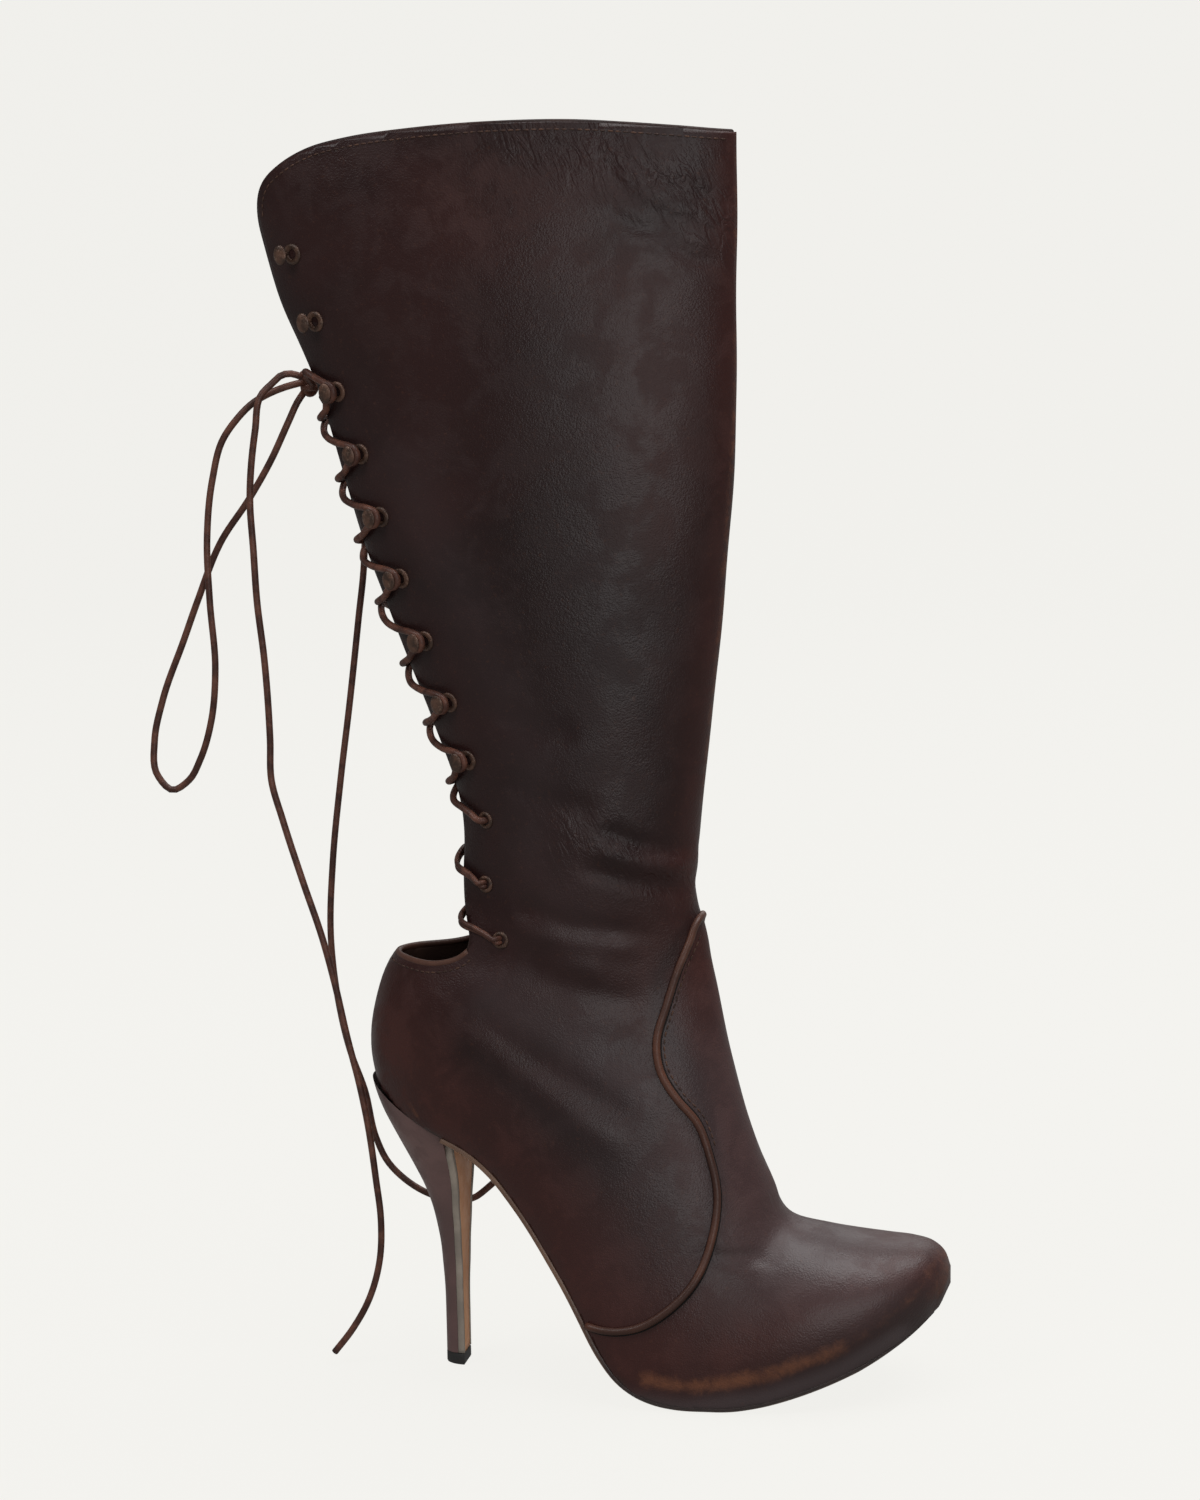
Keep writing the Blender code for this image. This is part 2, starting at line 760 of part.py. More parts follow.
def make_hook_mesh(enamel):
    # A washer, a post on the side of the flap's edge, and a domed head over the lace.
    ring = new_object("hook_ring", turned("hook_ring", ring_profile(hook_radius), enamel), cutters)
    post_profile = ((0.0, clearance + eyelet_rim / 2), (post_radius, clearance + eyelet_rim / 2))
    post_profile += ((post_radius, head_bottom + head_thickness / 2), (0.0, head_bottom + head_thickness / 2))
    post = new_object("hook_post", turned("hook_post", post_profile, enamel), cutters)
    post.location.x = post_offset
    dome = ((0.0, 0.0), (1.0, 0.0), (0.8, head_thickness * 0.7), (0.0, head_thickness))
    head = new_object("hook_head", turned("hook_head", dome, enamel), cutters)
    head.location = (head_offset, 0.0, head_bottom)
    head.scale = (head_across, head_along, 1.0)
    bpy.context.view_layer.update()
    boolean(ring, post, "UNION")
    boolean(ring, head, "UNION")
    return meshed(ring, cutters).data


def make_eyelets(tree, upper):
    enamel = paint("eyelet_enamel", (0.05, 0.026, 0.018), 0.35)
    eyelet_mesh = turned("eyelet", ring_profile(eyelet_radius), enamel)
    hook_mesh = make_hook_mesh(enamel)
    holes = bmesh.new()
    for side, word in ((-1, "near"), (1, "far")):
        for number, (across, level, _) in enumerate(eyelet_places):
            spot, normal = wall_point(tree, across, level, side)
            if number < first_hook:
                part = bpy.data.objects.new(f"eyelet_{word}_{number + 1}", eyelet_mesh)
            else:
                part = bpy.data.objects.new(f"hook_{word}_{number - first_hook + 1}", hook_mesh)
            part.matrix_world = seat_matrix(spot, normal)
            boot.objects.link(part)
            bmesh.ops.create_cone(
                holes,
                cap_ends=True,
                segments=eyelet_steps,
                radius1=eyelet_barrel + hole_clearance,
                radius2=eyelet_barrel + hole_clearance,
                depth=cutter_reach,
                matrix=part.matrix_world,
            )
    boolean(upper, new_object("eyelet_holes", mesh_of("eyelet_holes", holes), cutters), "DIFFERENCE")


def tube(name, points, radius, group, material=None):
    curve = bpy.data.curves.new(name, "CURVE")
    curve.dimensions = "3D"
    curve.bevel_depth = radius
    curve.bevel_resolution = 2
    curve.use_fill_caps = True
    spline = curve.splines.new("POLY")
    spline.points.add(len(points) - 1)
    for place_point, point in zip(spline.points, points):
        place_point.co = (*point, 1.0)
    return new_object(name, curve, group, material)


def meshed(part, group):
    graph = bpy.context.evaluated_depsgraph_get()
    mesh = bpy.data.meshes.new_from_object(part.evaluated_get(graph))
    name = part.name
    materials = list(part.data.materials)
    bpy.data.objects.remove(part)
    bm = bmesh.new()
    bm.from_mesh(mesh)
    bmesh.ops.remove_doubles(bm, verts=bm.verts, dist=merge_distance)
    bmesh.ops.recalc_face_normals(bm, faces=bm.faces)
    mesh = mesh_of(name, bm)
    result = new_object(name, mesh, group)
    if materials and not mesh.materials:
        mesh.materials.append(materials[0])
    return result


def flap_at(level):
    rows = np.array(flap_line)[::-1]
    return float(np.interp(level, rows[:, 1], rows[:, 0]))


def outside_point(tree, across, level, side):
    spot, normal = wall_point(tree, across, level, side)
    return spot + normal * (lace_radius + lace_lift)


def eyelet_point(tree, number, side):
    across, level, _ = eyelet_places[number]
    spot, normal = wall_point(tree, across - eyelet_offset, level, side)
    return spot + normal * (clearance + eyelet_rim + lace_lift + lace_radius)


def hook_bend(tree, number, side, upwards):
    # Half of the lace's turn round a hook's post, from its far side to the side it leaves by.
    across, level, _ = eyelet_places[number]
    seat = seat_matrix(*wall_point(tree, across, level, side))
    if seat.col[1].z < 0:
        upwards = -upwards
    turn_radius = post_radius + hook_clearance + lace_radius
    height = (clearance + eyelet_rim + head_bottom) / 2
    points = []
    for turn in (0, 45, 90):
        x = post_offset - turn_radius * math.cos(math.radians(turn))
        y = turn_radius * math.sin(math.radians(turn)) * upwards
        points.append(seat @ Vector((x, y, height)))
    return points


def strand(tree, number, edge_level, side):
    # From an eyelet or hook over the outside of the flap to its edge, then round its corner.
    across, level, _ = eyelet_places[number]
    edge = flap_at(edge_level)
    if number < first_hook:
        points = [eyelet_point(tree, number, side)]
    else:
        points = hook_bend(tree, number, side, math.copysign(1.0, edge_level - level))
    for share in strand_shares[number >= first_hook :]:
        along = across * (1 - share) + (edge + edge_offset) * share
        height = level * (1 - share) + edge_level * share
        points.append(outside_point(tree, along, height, side))
    spot, normal = wall_point(tree, edge + edge_offset, edge_level, side)
    corner = (normal + Vector((-1.0, 0.0, 0.0))).normalized()
    points.append(spot + corner * (lace_radius + lace_lift))
    return points


def crossing_point(number, level):
    behind = place(flap_at(level), level)
    behind.x -= crossing_reach * eyelet_places[number][2]
    return behind


def crossing_cord(tree, start_side):
    # One lace end's way up the back, from side to side.
    points = []
    side = start_side
    last = last_crossed
    for number in range(first_crossed, last):
        here = eyelet_places[number][1]
        gap = eyelet_places[number + 1][1] - here
        points.extend(strand(tree, number, here + gap * leave_share, side))
        points.append(crossing_point(number, here + gap / 2))
        points.extend(strand(tree, number + 1, here + gap * arrive_share, -side)[:0:-1])
        side = -side
    points.extend(strand(tree, last, eyelet_places[last][1] + knot_rise, side))
    beside_knot = place(*knot_place)
    beside_knot.y = side * (knot_radius + clearance * 2)
    points.append(beside_knot)
    return points


def make_lace_bars(tree, leather):
    for number in range(first_crossed):
        level = eyelet_places[number][1] + bar_rise
        near = strand(tree, number, level, -1)
        far = [Vector((point.x, -point.y, point.z)) for point in near[::-1]]
        middle = crossing_point(number, level + bar_rise)
        path = even_path([tuple(point) for point in near + [middle] + far], bend_spacing)
        tube(f"lace_bar_{number + 1}", path, lace_radius, boot, leather)


def make_crossings(tree, leather):
    parts = []
    for start_side, ending, group in ((-1, "", boot), (1, "_second", cutters)):
        path = even_path([tuple(point) for point in crossing_cord(tree, start_side)], bend_spacing)
        name = "lace_crossings" + ending
        parts.append(meshed(tube(name, path, lace_radius, group, leather), group))
    boolean(parts[0], parts[1], "UNION")


def route_points(route):
    points = []
    for across, side, level in route:
        point = place(across, level)
        points.append((point.x, side * ball_width, point.z))
    return points


def make_free_lace(leather):
    for name, route in (
        ("lace_loop", loop_route),
        ("lace_end_near", near_end_route),
        ("lace_end_far", far_end_route),
    ):
        tube(name, even_path(route_points(route), cord_spacing), lace_radius, boot, leather)


def make_knot(leather):
    bm = bmesh.new()
    middle = place(*knot_place)
    bmesh.ops.create_uvsphere(bm, u_segments=12, v_segments=8, radius=knot_radius)
    bmesh.ops.translate(bm, verts=bm.verts, vec=middle)
    return new_object("lace_knot", mesh_of("lace_knot", bm), boot, leather)


for old in list(bpy.data.objects):
    bpy.data.objects.remove(old)
boot = collect("corset_back_boot", False)
cutters = collect("cutters", True)

upper = make_upper()
make_piping()
make_insole()
make_platform()
make_outsole()
make_heel()
make_top_lift()

bpy.context.view_layer.update()
wall_tree = BVHTree.FromObject(upper, bpy.context.evaluated_depsgraph_get())
make_eyelets(wall_tree, upper)
lace_leather = paint("lace_leather", (0.085, 0.042, 0.03), 0.5)
make_lace_bars(wall_tree, lace_leather)
make_crossings(wall_tree, lace_leather)
make_knot(lace_leather)
make_free_lace(lace_leather)
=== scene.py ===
import math

import bmesh
import bpy
import numpy as np
from mathutils import Matrix, Vector
from mathutils.bvhtree import BVHTree


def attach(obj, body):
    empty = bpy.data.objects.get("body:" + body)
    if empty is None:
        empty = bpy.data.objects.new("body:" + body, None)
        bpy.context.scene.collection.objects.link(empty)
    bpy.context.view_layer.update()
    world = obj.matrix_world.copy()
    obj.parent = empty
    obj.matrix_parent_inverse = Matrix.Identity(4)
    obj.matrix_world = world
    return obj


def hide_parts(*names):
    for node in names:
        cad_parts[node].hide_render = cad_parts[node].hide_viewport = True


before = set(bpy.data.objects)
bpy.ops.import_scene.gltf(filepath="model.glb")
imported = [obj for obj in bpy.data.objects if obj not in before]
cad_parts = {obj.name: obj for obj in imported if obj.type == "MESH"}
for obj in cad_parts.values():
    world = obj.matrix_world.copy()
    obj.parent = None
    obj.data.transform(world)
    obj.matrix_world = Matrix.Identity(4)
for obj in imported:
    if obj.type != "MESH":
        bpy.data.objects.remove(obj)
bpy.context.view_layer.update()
print("frame loaded")

mm = 0.001
nearSide = -1
farSide = 1

photoView = {
    "azimuth": 12.0,
    "elevation": 10.0,
    "roll": 0.837,
    "distance": 1.25,
    "lens": 77.92,
    "nearest": 0.05,
    "target": (0.048, 0.05175, 0.23048),
}


def makeCamera():
    turn = math.radians(photoView["azimuth"])
    lift = math.radians(photoView["elevation"])
    roll = math.radians(photoView["roll"])
    back = Vector((math.sin(turn) * math.cos(lift), -math.cos(turn) * math.cos(lift), math.sin(lift)))
    level = Vector((math.cos(turn), math.sin(turn), 0.0))
    upright = back.cross(level)
    right = level * math.cos(roll) - upright * math.sin(roll)
    up = upright * math.cos(roll) + level * math.sin(roll)
    camera = bpy.data.objects.new("photoCamera", bpy.data.cameras.new("photoCamera"))
    camera.data.lens = photoView["lens"]
    camera.data.clip_start = photoView["nearest"]
    stand = Matrix.Translation(Vector(photoView["target"]) + back * photoView["distance"])
    camera.matrix_world = stand @ Matrix((right, up, back)).transposed().to_4x4()
    bpy.context.scene.collection.objects.link(camera)
    bpy.context.scene.camera = camera


makeCamera()
print("camera placed")

# Sections of the upper from the top edge to the toe.
# frontX, frontZ, backX, backZ, half width, widest as a share from back to front, back bow, front bow, swing
sectionRows = (
    (111.8, 478, -70, 478, 24, 0.45, 1.00, 1.25, 0),
    (111.5, 440, -69.5, 440, 27, 0.45, 1.00, 1.25, 0),
    (111.3, 404.9, -60.5, 404.9, 28.5, 0.45, 1.00, 1.20, 0),
    (110.9, 370.1, -46.4, 370.1, 29.5, 0.45, 1.00, 1.20, 0),
    (109.1, 330, -35, 330, 30, 0.46, 1.00, 1.15, 0),
    (105.2, 289.9, -21.6, 289.9, 30, 0.46, 1.00, 1.15, 0),
    (100.8, 250.1, -5.9, 250.1, 29.5, 0.47, 1.00, 1.12, 0),
    (97.5, 222.1, 3.1, 222.1, 29, 0.48, 1.00, 1.10, 0),
    (95.3, 202.9, 4, 200, 28.5, 0.49, 1.00, 1.08, 0),
    (94.2, 190.1, 0, 184.1, 28, 0.50, 1.05, 1.05, 0),
    (95.5, 181.9, -11.4, 171.6, 27.5, 0.50, 1.10, 1.05, 0),
    (97.5, 176.6, -23.1, 158.9, 27, 0.48, 1.12, 1.05, 0),
    (99, 170.6, -28.8, 142.9, 28.5, 0.40, 1.05, 1.05, 0),
    (100.3, 162.1, -30.6, 121.9, 30, 0.36, 1.00, 1.05, 0),
    (102.5, 151.1, -20.5, 97, 31, 0.34, 0.88, 1.05, -0.3),
    (104.9, 139, -3.1, 89.5, 31, 0.35, 0.80, 1.05, -1),
    (108, 124.1, 12.1, 79.5, 31.5, 0.36, 0.73, 1.05, -1.8),
    (112, 107, 24, 66, 32.5, 0.36, 0.70, 1.05, -2.3),
    (117, 92, 36.1, 48, 34, 0.36, 0.66, 1.05, -2.3),
    (121.4, 81, 46, 30, 36, 0.36, 0.60, 1.05, -1.8),
    (125.8, 70.3, 56.5, 11, 38.5, 0.34, 0.52, 1.00, -1),
    (132, 63.8, 70, -1.5, 40.5, 0.27, 0.45, 0.92, -0.2),
    (143, 61.2, 88, -5, 41, 0.24, 0.40, 0.92, 0.5),
    (154.4, 59, 110, -4.5, 40.2, 0.25, 0.40, 0.88, 1.1),
    (165.7, 57.6, 130.9, -1, 37.1, 0.27, 0.42, 0.86, 2.1),
    (175.1, 56.6, 150, 5.9, 31.5, 0.30, 0.45, 0.84, 3.1),
    (181.7, 55, 164.6, 13.4, 24.5, 0.36, 0.50, 0.86, 3.9),
    (186.1, 51.6, 176.2, 21.1, 16.4, 0.42, 0.60, 0.88, 4.4),
    (188.3, 46.5, 184.4, 30.5, 8.7, 0.48, 0.70, 0.95, 4.8),
)

# Lines of the side view, each a row of x and z.
topLine = (
    (139.9, 462.4), (111.8, 462.7), (86.2, 464.9), (56.1, 467), (35, 467), (-2.2, 464.9),
    (-26.8, 462), (-40.7, 458.8), (-48.8, 455.3), (-54.6, 451.7), (-58.7, 448.5), (-61.6, 444.3),
    (-62.9, 439), (-62.9, 432.9),
)
flapLine = (
    (-61.4, 426.9), (-59.6, 419.8), (-55, 405.2), (-48.4, 391), (-39.6, 369.4), (-31.9, 340.3),
    (-23.5, 310.8), (-12.1, 281.3), (-0.7, 251.9), (5.1, 237), (9.2, 222.4), (10.3, 207.9),
    (9.9, 196.1), (10.6, 186.9), (12.8, 178.4), (14.5, 172.3),
)
rimLine = (
    (13.4, 168.1), (10.1, 164.9), (5.9, 163.1), (-2.2, 161.3), (-11.7, 161.3), (-20.9, 162.1),
    (-46, 163.5),
)
featherLine = (
    (-46, 120.9), (-29.9, 113.4), (-17.8, 106.4), (-6.6, 100.2), (1.8, 96), (11.9, 91.5),
    (22, 83.7), (29, 75.6), (35, 67.9), (40.3, 60.1), (45.1, 52.5), (49.5, 45.4),
    (53.5, 38.3), (57.2, 31.4), (60.9, 24.6), (64.9, 18.1), (69.5, 12.1), (75.9, 7.1),
    (84, 3.8), (92, 2.5), (102.1, 2.4), (112, 2.6), (122.1, 4.3), (133.1, 7.4),
    (144.1, 11.2), (154.4, 15.3), (165, 20), (174.9, 25.6), (181.1, 30.2), (185.9, 34),
    (198, 44.8),
)
pipingLine = (
    (112, 186.9), (103, 182.6), (95.7, 178), (93.3, 170.6), (90, 162.1), (85.8, 147.5),
    (82.9, 135.8), (84.3, 125.8), (90.6, 114.8), (97.5, 106.2), (102.3, 93.9), (105.6, 79.6),
    (104.5, 64.7), (98.8, 49.1), (88, 37.7), (78.5, 31.9), (66.9, 29.7), (58.1, 30.6),
    (44, 33.6),
)

# Eyelets and hooks from the bottom up: x, z, and how far the crossing above stands behind the edge.
eyeletPlaces = (
    (26, 172.7, 0.30), (19.8, 192.6, 0.75), (20.5, 216.7, 0.66), (14.1, 238.7, 0.94),
    (7.5, 260, 1.10), (-1.1, 282.4, 1.02), (-9.9, 305.1, 0.70), (-16.9, 327.5, 0.66),
    (-24, 350.2, 1.25), (-32.6, 372.6, 1.00),
    (-39.8, 397.8, 0), (-48, 421.9, 0),
)

# Heel sections from the seat down: z, back x, front x, half width.
heelRows = (
    (125.4, -32.3, 1.1, 24.5),
    (109, -29.5, 1.1, 24.5),
    (102, -26.8, 1.1, 24.3),
    (95, -23.3, 1.3, 22.5),
    (87, -19.4, 1.5, 18.2),
    (79.1, -15.4, 1.8, 14.7),
    (71.5, -11.7, 1.8, 12.3),
    (63.6, -8.8, 1.5, 10.6),
    (55.8, -7, 1.5, 9),
    (47.9, -5.7, 1.3, 7.7),
    (39.9, -5.1, 1.3, 6.6),
    (32, -4.6, 1.1, 5.8),
    (15.9, -4.4, 1.1, 5.2),
    (0, -4.4, 1.1, 5.1),
)
toePoint = (188.5, 4.8, 40.5)


def rowsOf(table):
    return np.array(table, dtype=float)


def smoothRows(knots, rows, at):
    # a smooth curve through rows of numbers, read at many places
    steps = np.diff(knots)
    slopes = np.diff(rows, axis=0) / steps[:, None]
    near = steps[:-1, None]
    after = steps[1:, None]
    inner = (slopes[:-1] * after + slopes[1:] * near) / (near + after)
    tangents = np.vstack((slopes[:1], inner, slopes[-1:]))
    index = np.clip(np.searchsorted(knots, at, side="right") - 1, 0, len(steps) - 1)
    step = steps[index][:, None]
    u = (at - knots[index])[:, None] / step
    return (
        (2 * u**3 - 3 * u**2 + 1) * rows[index]
        + (u**3 - 2 * u**2 + u) * step * tangents[index]
        + (3 * u**2 - 2 * u**3) * rows[index + 1]
        + (u**3 - u**2) * step * tangents[index + 1]
    )


def pathLengths(points):
    return np.concatenate(([0.0], np.cumsum(np.linalg.norm(np.diff(points, axis=0), axis=1))))


def evenAlong(line, count):
    # count equal steps along a line
    lengths = pathLengths(line)
    stops = np.linspace(0.0, lengths[-1], count + 1)
    return np.stack([np.interp(stops, lengths, column) for column in line.T], axis=1)


def stepsAlong(line, spacing):
    return max(3, round(pathLengths(line)[-1] / spacing))


def smoothPath(points, spacing):
    # points every spacing along a smooth curve through the given ones
    rows = rowsOf(points)
    knots = pathLengths(rows)
    fine = smoothRows(knots, rows, np.linspace(0.0, knots[-1], len(rows) * 16))
    return evenAlong(fine, stepsAlong(fine, spacing))


def rampOf(value, start, end):
    # 0 up to start, 1 from end on
    return np.clip((value - start) / (end - start), 0.0, 1.0)


def directionsOf(line):
    runs = np.gradient(line, axis=0)
    return runs / np.linalg.norm(runs, axis=1, keepdims=True)


def lineDistance(places, line):
    # distance from each place to a polyline, and how far along it the nearest point is, 0 to 1
    line = rowsOf(line)
    total = pathLengths(line)
    best = np.full(len(places), 1e9)
    along = np.zeros(len(places))
    for index in range(len(line) - 1):
        start = line[index]
        run = line[index + 1] - start
        share = np.clip(((places - start) @ run) / (run @ run), 0.0, 1.0)
        distance = np.linalg.norm(places - start - share[:, None] * run, axis=1)
        closer = distance < best
        best = np.where(closer, distance, best)
        reached = total[index] + share * (total[index + 1] - total[index])
        along = np.where(closer, reached / total[-1], along)
    return best, along


def newObject(name, mesh, *materials):
    piece = bpy.data.objects.new(name, mesh)
    for material in materials:
        mesh.materials.append(material)
    bpy.context.scene.collection.objects.link(piece)
    return piece


def meshFrom(name, points, faces):
    mesh = bpy.data.meshes.new(name)
    mesh.from_pydata([tuple(point) for point in points], [], faces)
    mesh.polygons.foreach_set("use_smooth", [True] * len(mesh.polygons))
    mesh.update()
    return mesh


def ringFaces(rings, count, closed=True, looped=False, flip=False):
    # quads between rings of count points; looped also joins the last ring to the first
    faces = []
    for ring in range(rings if looped else rings - 1):
        base, over = ring * count, (ring + 1) % rings * count
        for index in range(count if closed else count - 1):
            after = (index + 1) % count
            face = (base + index, base + after, over + after, over + index)
            faces.append((face[0], face[3], face[2], face[1]) if flip else face)
    return faces


def endFaces(rings, count):
    return [tuple(range(count))[::-1], tuple(range((rings - 1) * count, rings * count))]


def applyModifiers(piece):
    graph = bpy.context.evaluated_depsgraph_get()
    made = bpy.data.meshes.new_from_object(piece.evaluated_get(graph))
    piece.modifiers.clear()
    piece.data = made
    return piece


def addMask(mesh, name, values):
    mask = mesh.attributes.new(name, "FLOAT", "POINT")
    mask.data.foreach_set("value", np.asarray(values, dtype=np.float32))


def tubeMesh(name, points, radii, sides=12, flat=1.0, flatWay=None, closed=False):
    # a round or flattened cord along the points, in metres
    points = [Vector(point) for point in points]
    count = len(points)
    if not hasattr(radii, "__len__"):
        radii = [radii] * count
    out = Vector((0.0, -1.0, 0.0))
    verts = []
    for index, point in enumerate(points):
        before = points[index - 1] if closed or index else point
        after = points[(index + 1) % count] if closed or index < count - 1 else point
        run = (after - before).normalized()
        if flatWay is not None:
            out = Vector(flatWay[index])
        out = (out - run * out.dot(run)).normalized()
        aside = run.cross(out)
        for side in range(sides):
            turn = 2 * math.pi * side / sides
            across = aside * math.cos(turn) + out * flat * math.sin(turn)
            verts.append(point + across * radii[index])
    faces = ringFaces(count, sides, looped=closed)
    return meshFrom(name, verts, faces if closed else faces + endFaces(count, sides))


def joinMeshes(name, meshes):
    bm = bmesh.new()
    for mesh in meshes:
        bm.from_mesh(mesh)
    joined = bpy.data.meshes.new(name)
    bm.to_mesh(joined)
    bm.free()
    return joined


# Materials. Colours are linear.
def groupOf(name, inputs, outputs):
    group = bpy.data.node_groups.new(name, "ShaderNodeTree")
    for label, kind, value in inputs:
        socket = group.interface.new_socket(label, in_out="INPUT", socket_type="NodeSocket" + kind)
        if value is not None:
            socket.default_value = value
    for label, kind in outputs:
        group.interface.new_socket(label, in_out="OUTPUT", socket_type="NodeSocket" + kind)
    return group, group.nodes.new("NodeGroupInput"), group.nodes.new("NodeGroupOutput")


def link(tree, source, target):
    tree.links.new(source, target)


def setInputs(node, values):
    for label, value in values.items():
        node.inputs[label].default_value = value


def noiseNode(tree, vector, scale, detail=3.0, rough=0.55, distortion=0.0):
    node = tree.nodes.new("ShaderNodeTexNoise")
    setInputs(node, {"Detail": detail, "Roughness": rough, "Distortion": distortion})
    link(tree, vector, node.inputs["Vector"])
    if isinstance(scale, float):
        setInputs(node, {"Scale": scale})
    else:
        link(tree, scale, node.inputs["Scale"])
    return node.outputs["Fac"]


def rangeNode(tree, value, low, high, toLow=0.0, toHigh=1.0):
    node = tree.nodes.new("ShaderNodeMapRange")
    node.interpolation_type = "SMOOTHSTEP"
    link(tree, value, node.inputs["Value"])
    setInputs(node, {"From Min": low, "From Max": high, "To Min": toLow, "To Max": toHigh})
    return node.outputs["Result"]


def mathNode(tree, kind, first, second=None):
    node = tree.nodes.new("ShaderNodeMath")
    node.operation = kind
    for socket, value in zip(node.inputs, (first, second)):
        if isinstance(value, (int, float)):
            socket.default_value = value
        elif value is not None:
            link(tree, value, socket)
    return node.outputs["Value"]


def mixNode(tree, share, first, second):
    node = tree.nodes.new("ShaderNodeMix")
    node.data_type = "RGBA"
    for socket, value in zip((node.inputs["Factor"], node.inputs[6], node.inputs[7]), (share, first, second)):
        if isinstance(value, tuple):
            socket.default_value = (*value, 1.0)
        elif isinstance(value, float):
            socket.default_value = value
        else:
            link(tree, value, socket)
    return node.outputs[2]


def stretched(tree, vector, stretch, turn):
    # turns the pattern first, then lengthens it
    node = tree.nodes.new("ShaderNodeMapping")
    node.vector_type = "TEXTURE"
    setInputs(node, {"Scale": stretch, "Rotation": turn})
    link(tree, vector, node.inputs["Vector"])
    return node.outputs["Vector"]


def placeOf(tree):
    return tree.nodes.new("ShaderNodeTexCoord").outputs["Object"]


def scaled(tree, value, share):
    return mathNode(tree, "MULTIPLY", value, share)


def maskOf(tree, name):
    node = tree.nodes.new("ShaderNodeAttribute")
    node.attribute_name = name
    return node.outputs["Fac"]


def makeGrainGroup():
    # leather pores and fine folds as a height, with a mask of its pits
    group, given, made = groupOf(
        "leatherGrain",
        [("Vector", "Vector", None), ("Pebble Scale", "Float", 1500.0), ("Fold Scale", "Float", 260.0)],
        [("Height", "Float"), ("Pits", "Float")],
    )
    place = given.outputs["Vector"]
    cells = group.nodes.new("ShaderNodeTexVoronoi")
    cells.feature = "SMOOTH_F1"
    wobble = group.nodes.new("ShaderNodeTexNoise")
    bent = group.nodes.new("ShaderNodeMix")
    bent.data_type = "VECTOR"
    setInputs(cells, {"Smoothness": 0.6})
    setInputs(wobble, {"Scale": 400.0})
    setInputs(bent, {"Factor": 0.0012})
    link(group, place, wobble.inputs["Vector"])
    link(group, place, bent.inputs[4])
    link(group, wobble.outputs["Color"], bent.inputs[5])
    link(group, bent.outputs[1], cells.inputs["Vector"])
    link(group, given.outputs["Pebble Scale"], cells.inputs["Scale"])
    folds = noiseNode(group, place, given.outputs["Fold Scale"], 5.0, 0.6, 0.6)
    pebble = scaled(group, cells.outputs["Distance"], -0.55)
    height = mathNode(group, "ADD", pebble, scaled(group, folds, 0.9))
    link(group, height, made.inputs["Height"])
    link(group, rangeNode(group, cells.outputs["Distance"], 0.45, 0.75), made.inputs["Pits"])
    return group


def makeBurnishGroup():
    # uneven dye: broad clouds, smaller blotches and fine rubbed flecks
    group, given, made = groupOf(
        "burnish",
        [("Vector", "Vector", None), ("Cloud Scale", "Float", 14.0), ("Blotch Scale", "Float", 70.0)],
        [("Clouds", "Float"), ("Blotches", "Float"), ("Flecks", "Float")],
    )
    place = given.outputs["Vector"]
    clouds = noiseNode(group, place, given.outputs["Cloud Scale"], 3.0, 0.5, 0.3)
    blotches = noiseNode(group, place, given.outputs["Blotch Scale"], 5.0, 0.62, 0.4)
    flecks = noiseNode(group, place, 620.0, 4.0, 0.7, 0.2)
    link(group, rangeNode(group, clouds, 0.36, 0.66), made.inputs["Clouds"])
    link(group, rangeNode(group, blotches, 0.40, 0.66), made.inputs["Blotches"])
    link(group, rangeNode(group, flecks, 0.56, 0.74), made.inputs["Flecks"])
    return group


def makeScuffGroup():
    # turns a soft mask into broken rubbed marks
    group, given, made = groupOf(
        "scuffs",
        [("Vector", "Vector", None), ("Mask", "Float", 0.0), ("Break Up", "Float", 180.0)],
        [("Scuff", "Float")],
    )
    speckle = noiseNode(group, given.outputs["Vector"], given.outputs["Break Up"], 6.0, 0.72, 0.5)
    level = mathNode(group, "SUBTRACT", mathNode(group, "ADD", given.outputs["Mask"], speckle), 0.92)
    link(group, rangeNode(group, level, -0.12, 0.52), made.inputs["Scuff"])
    return group


grainGroup = makeGrainGroup()
burnishGroup = makeBurnishGroup()
scuffGroup = makeScuffGroup()


def useGroup(tree, group, **inputs):
    node = tree.nodes.new("ShaderNodeGroup")
    node.node_tree = group
    for label, value in inputs.items():
        socket = node.inputs[label.replace("_", " ")]
        if isinstance(value, (int, float)):
            socket.default_value = value
        else:
            link(tree, value, socket)
    return node.outputs


def newMaterial(name, **dyeing):
    # a material's tree, shader and place, and its dye where it has one
    material = bpy.data.materials.new(name)
    material.use_nodes = True
    tree = material.node_tree
    place = placeOf(tree)
    dye = useGroup(tree, burnishGroup, Vector=place, **dyeing) if dyeing else None
    return material, tree, tree.nodes["Principled BSDF"], place, dye


def finishMaterial(tree, shader, colour, rough, height, depth):
    bump = tree.nodes.new("ShaderNodeBump")
    setInputs(bump, {"Distance": depth, "Strength": 1.0})
    link(tree, height, bump.inputs["Height"])
    link(tree, bump.outputs["Normal"], shader.inputs["Normal"])
    link(tree, colour, shader.inputs["Base Color"])
    if isinstance(rough, float):
        setInputs(shader, {"Roughness": rough})
    else:
        link(tree, rough, shader.inputs["Roughness"])


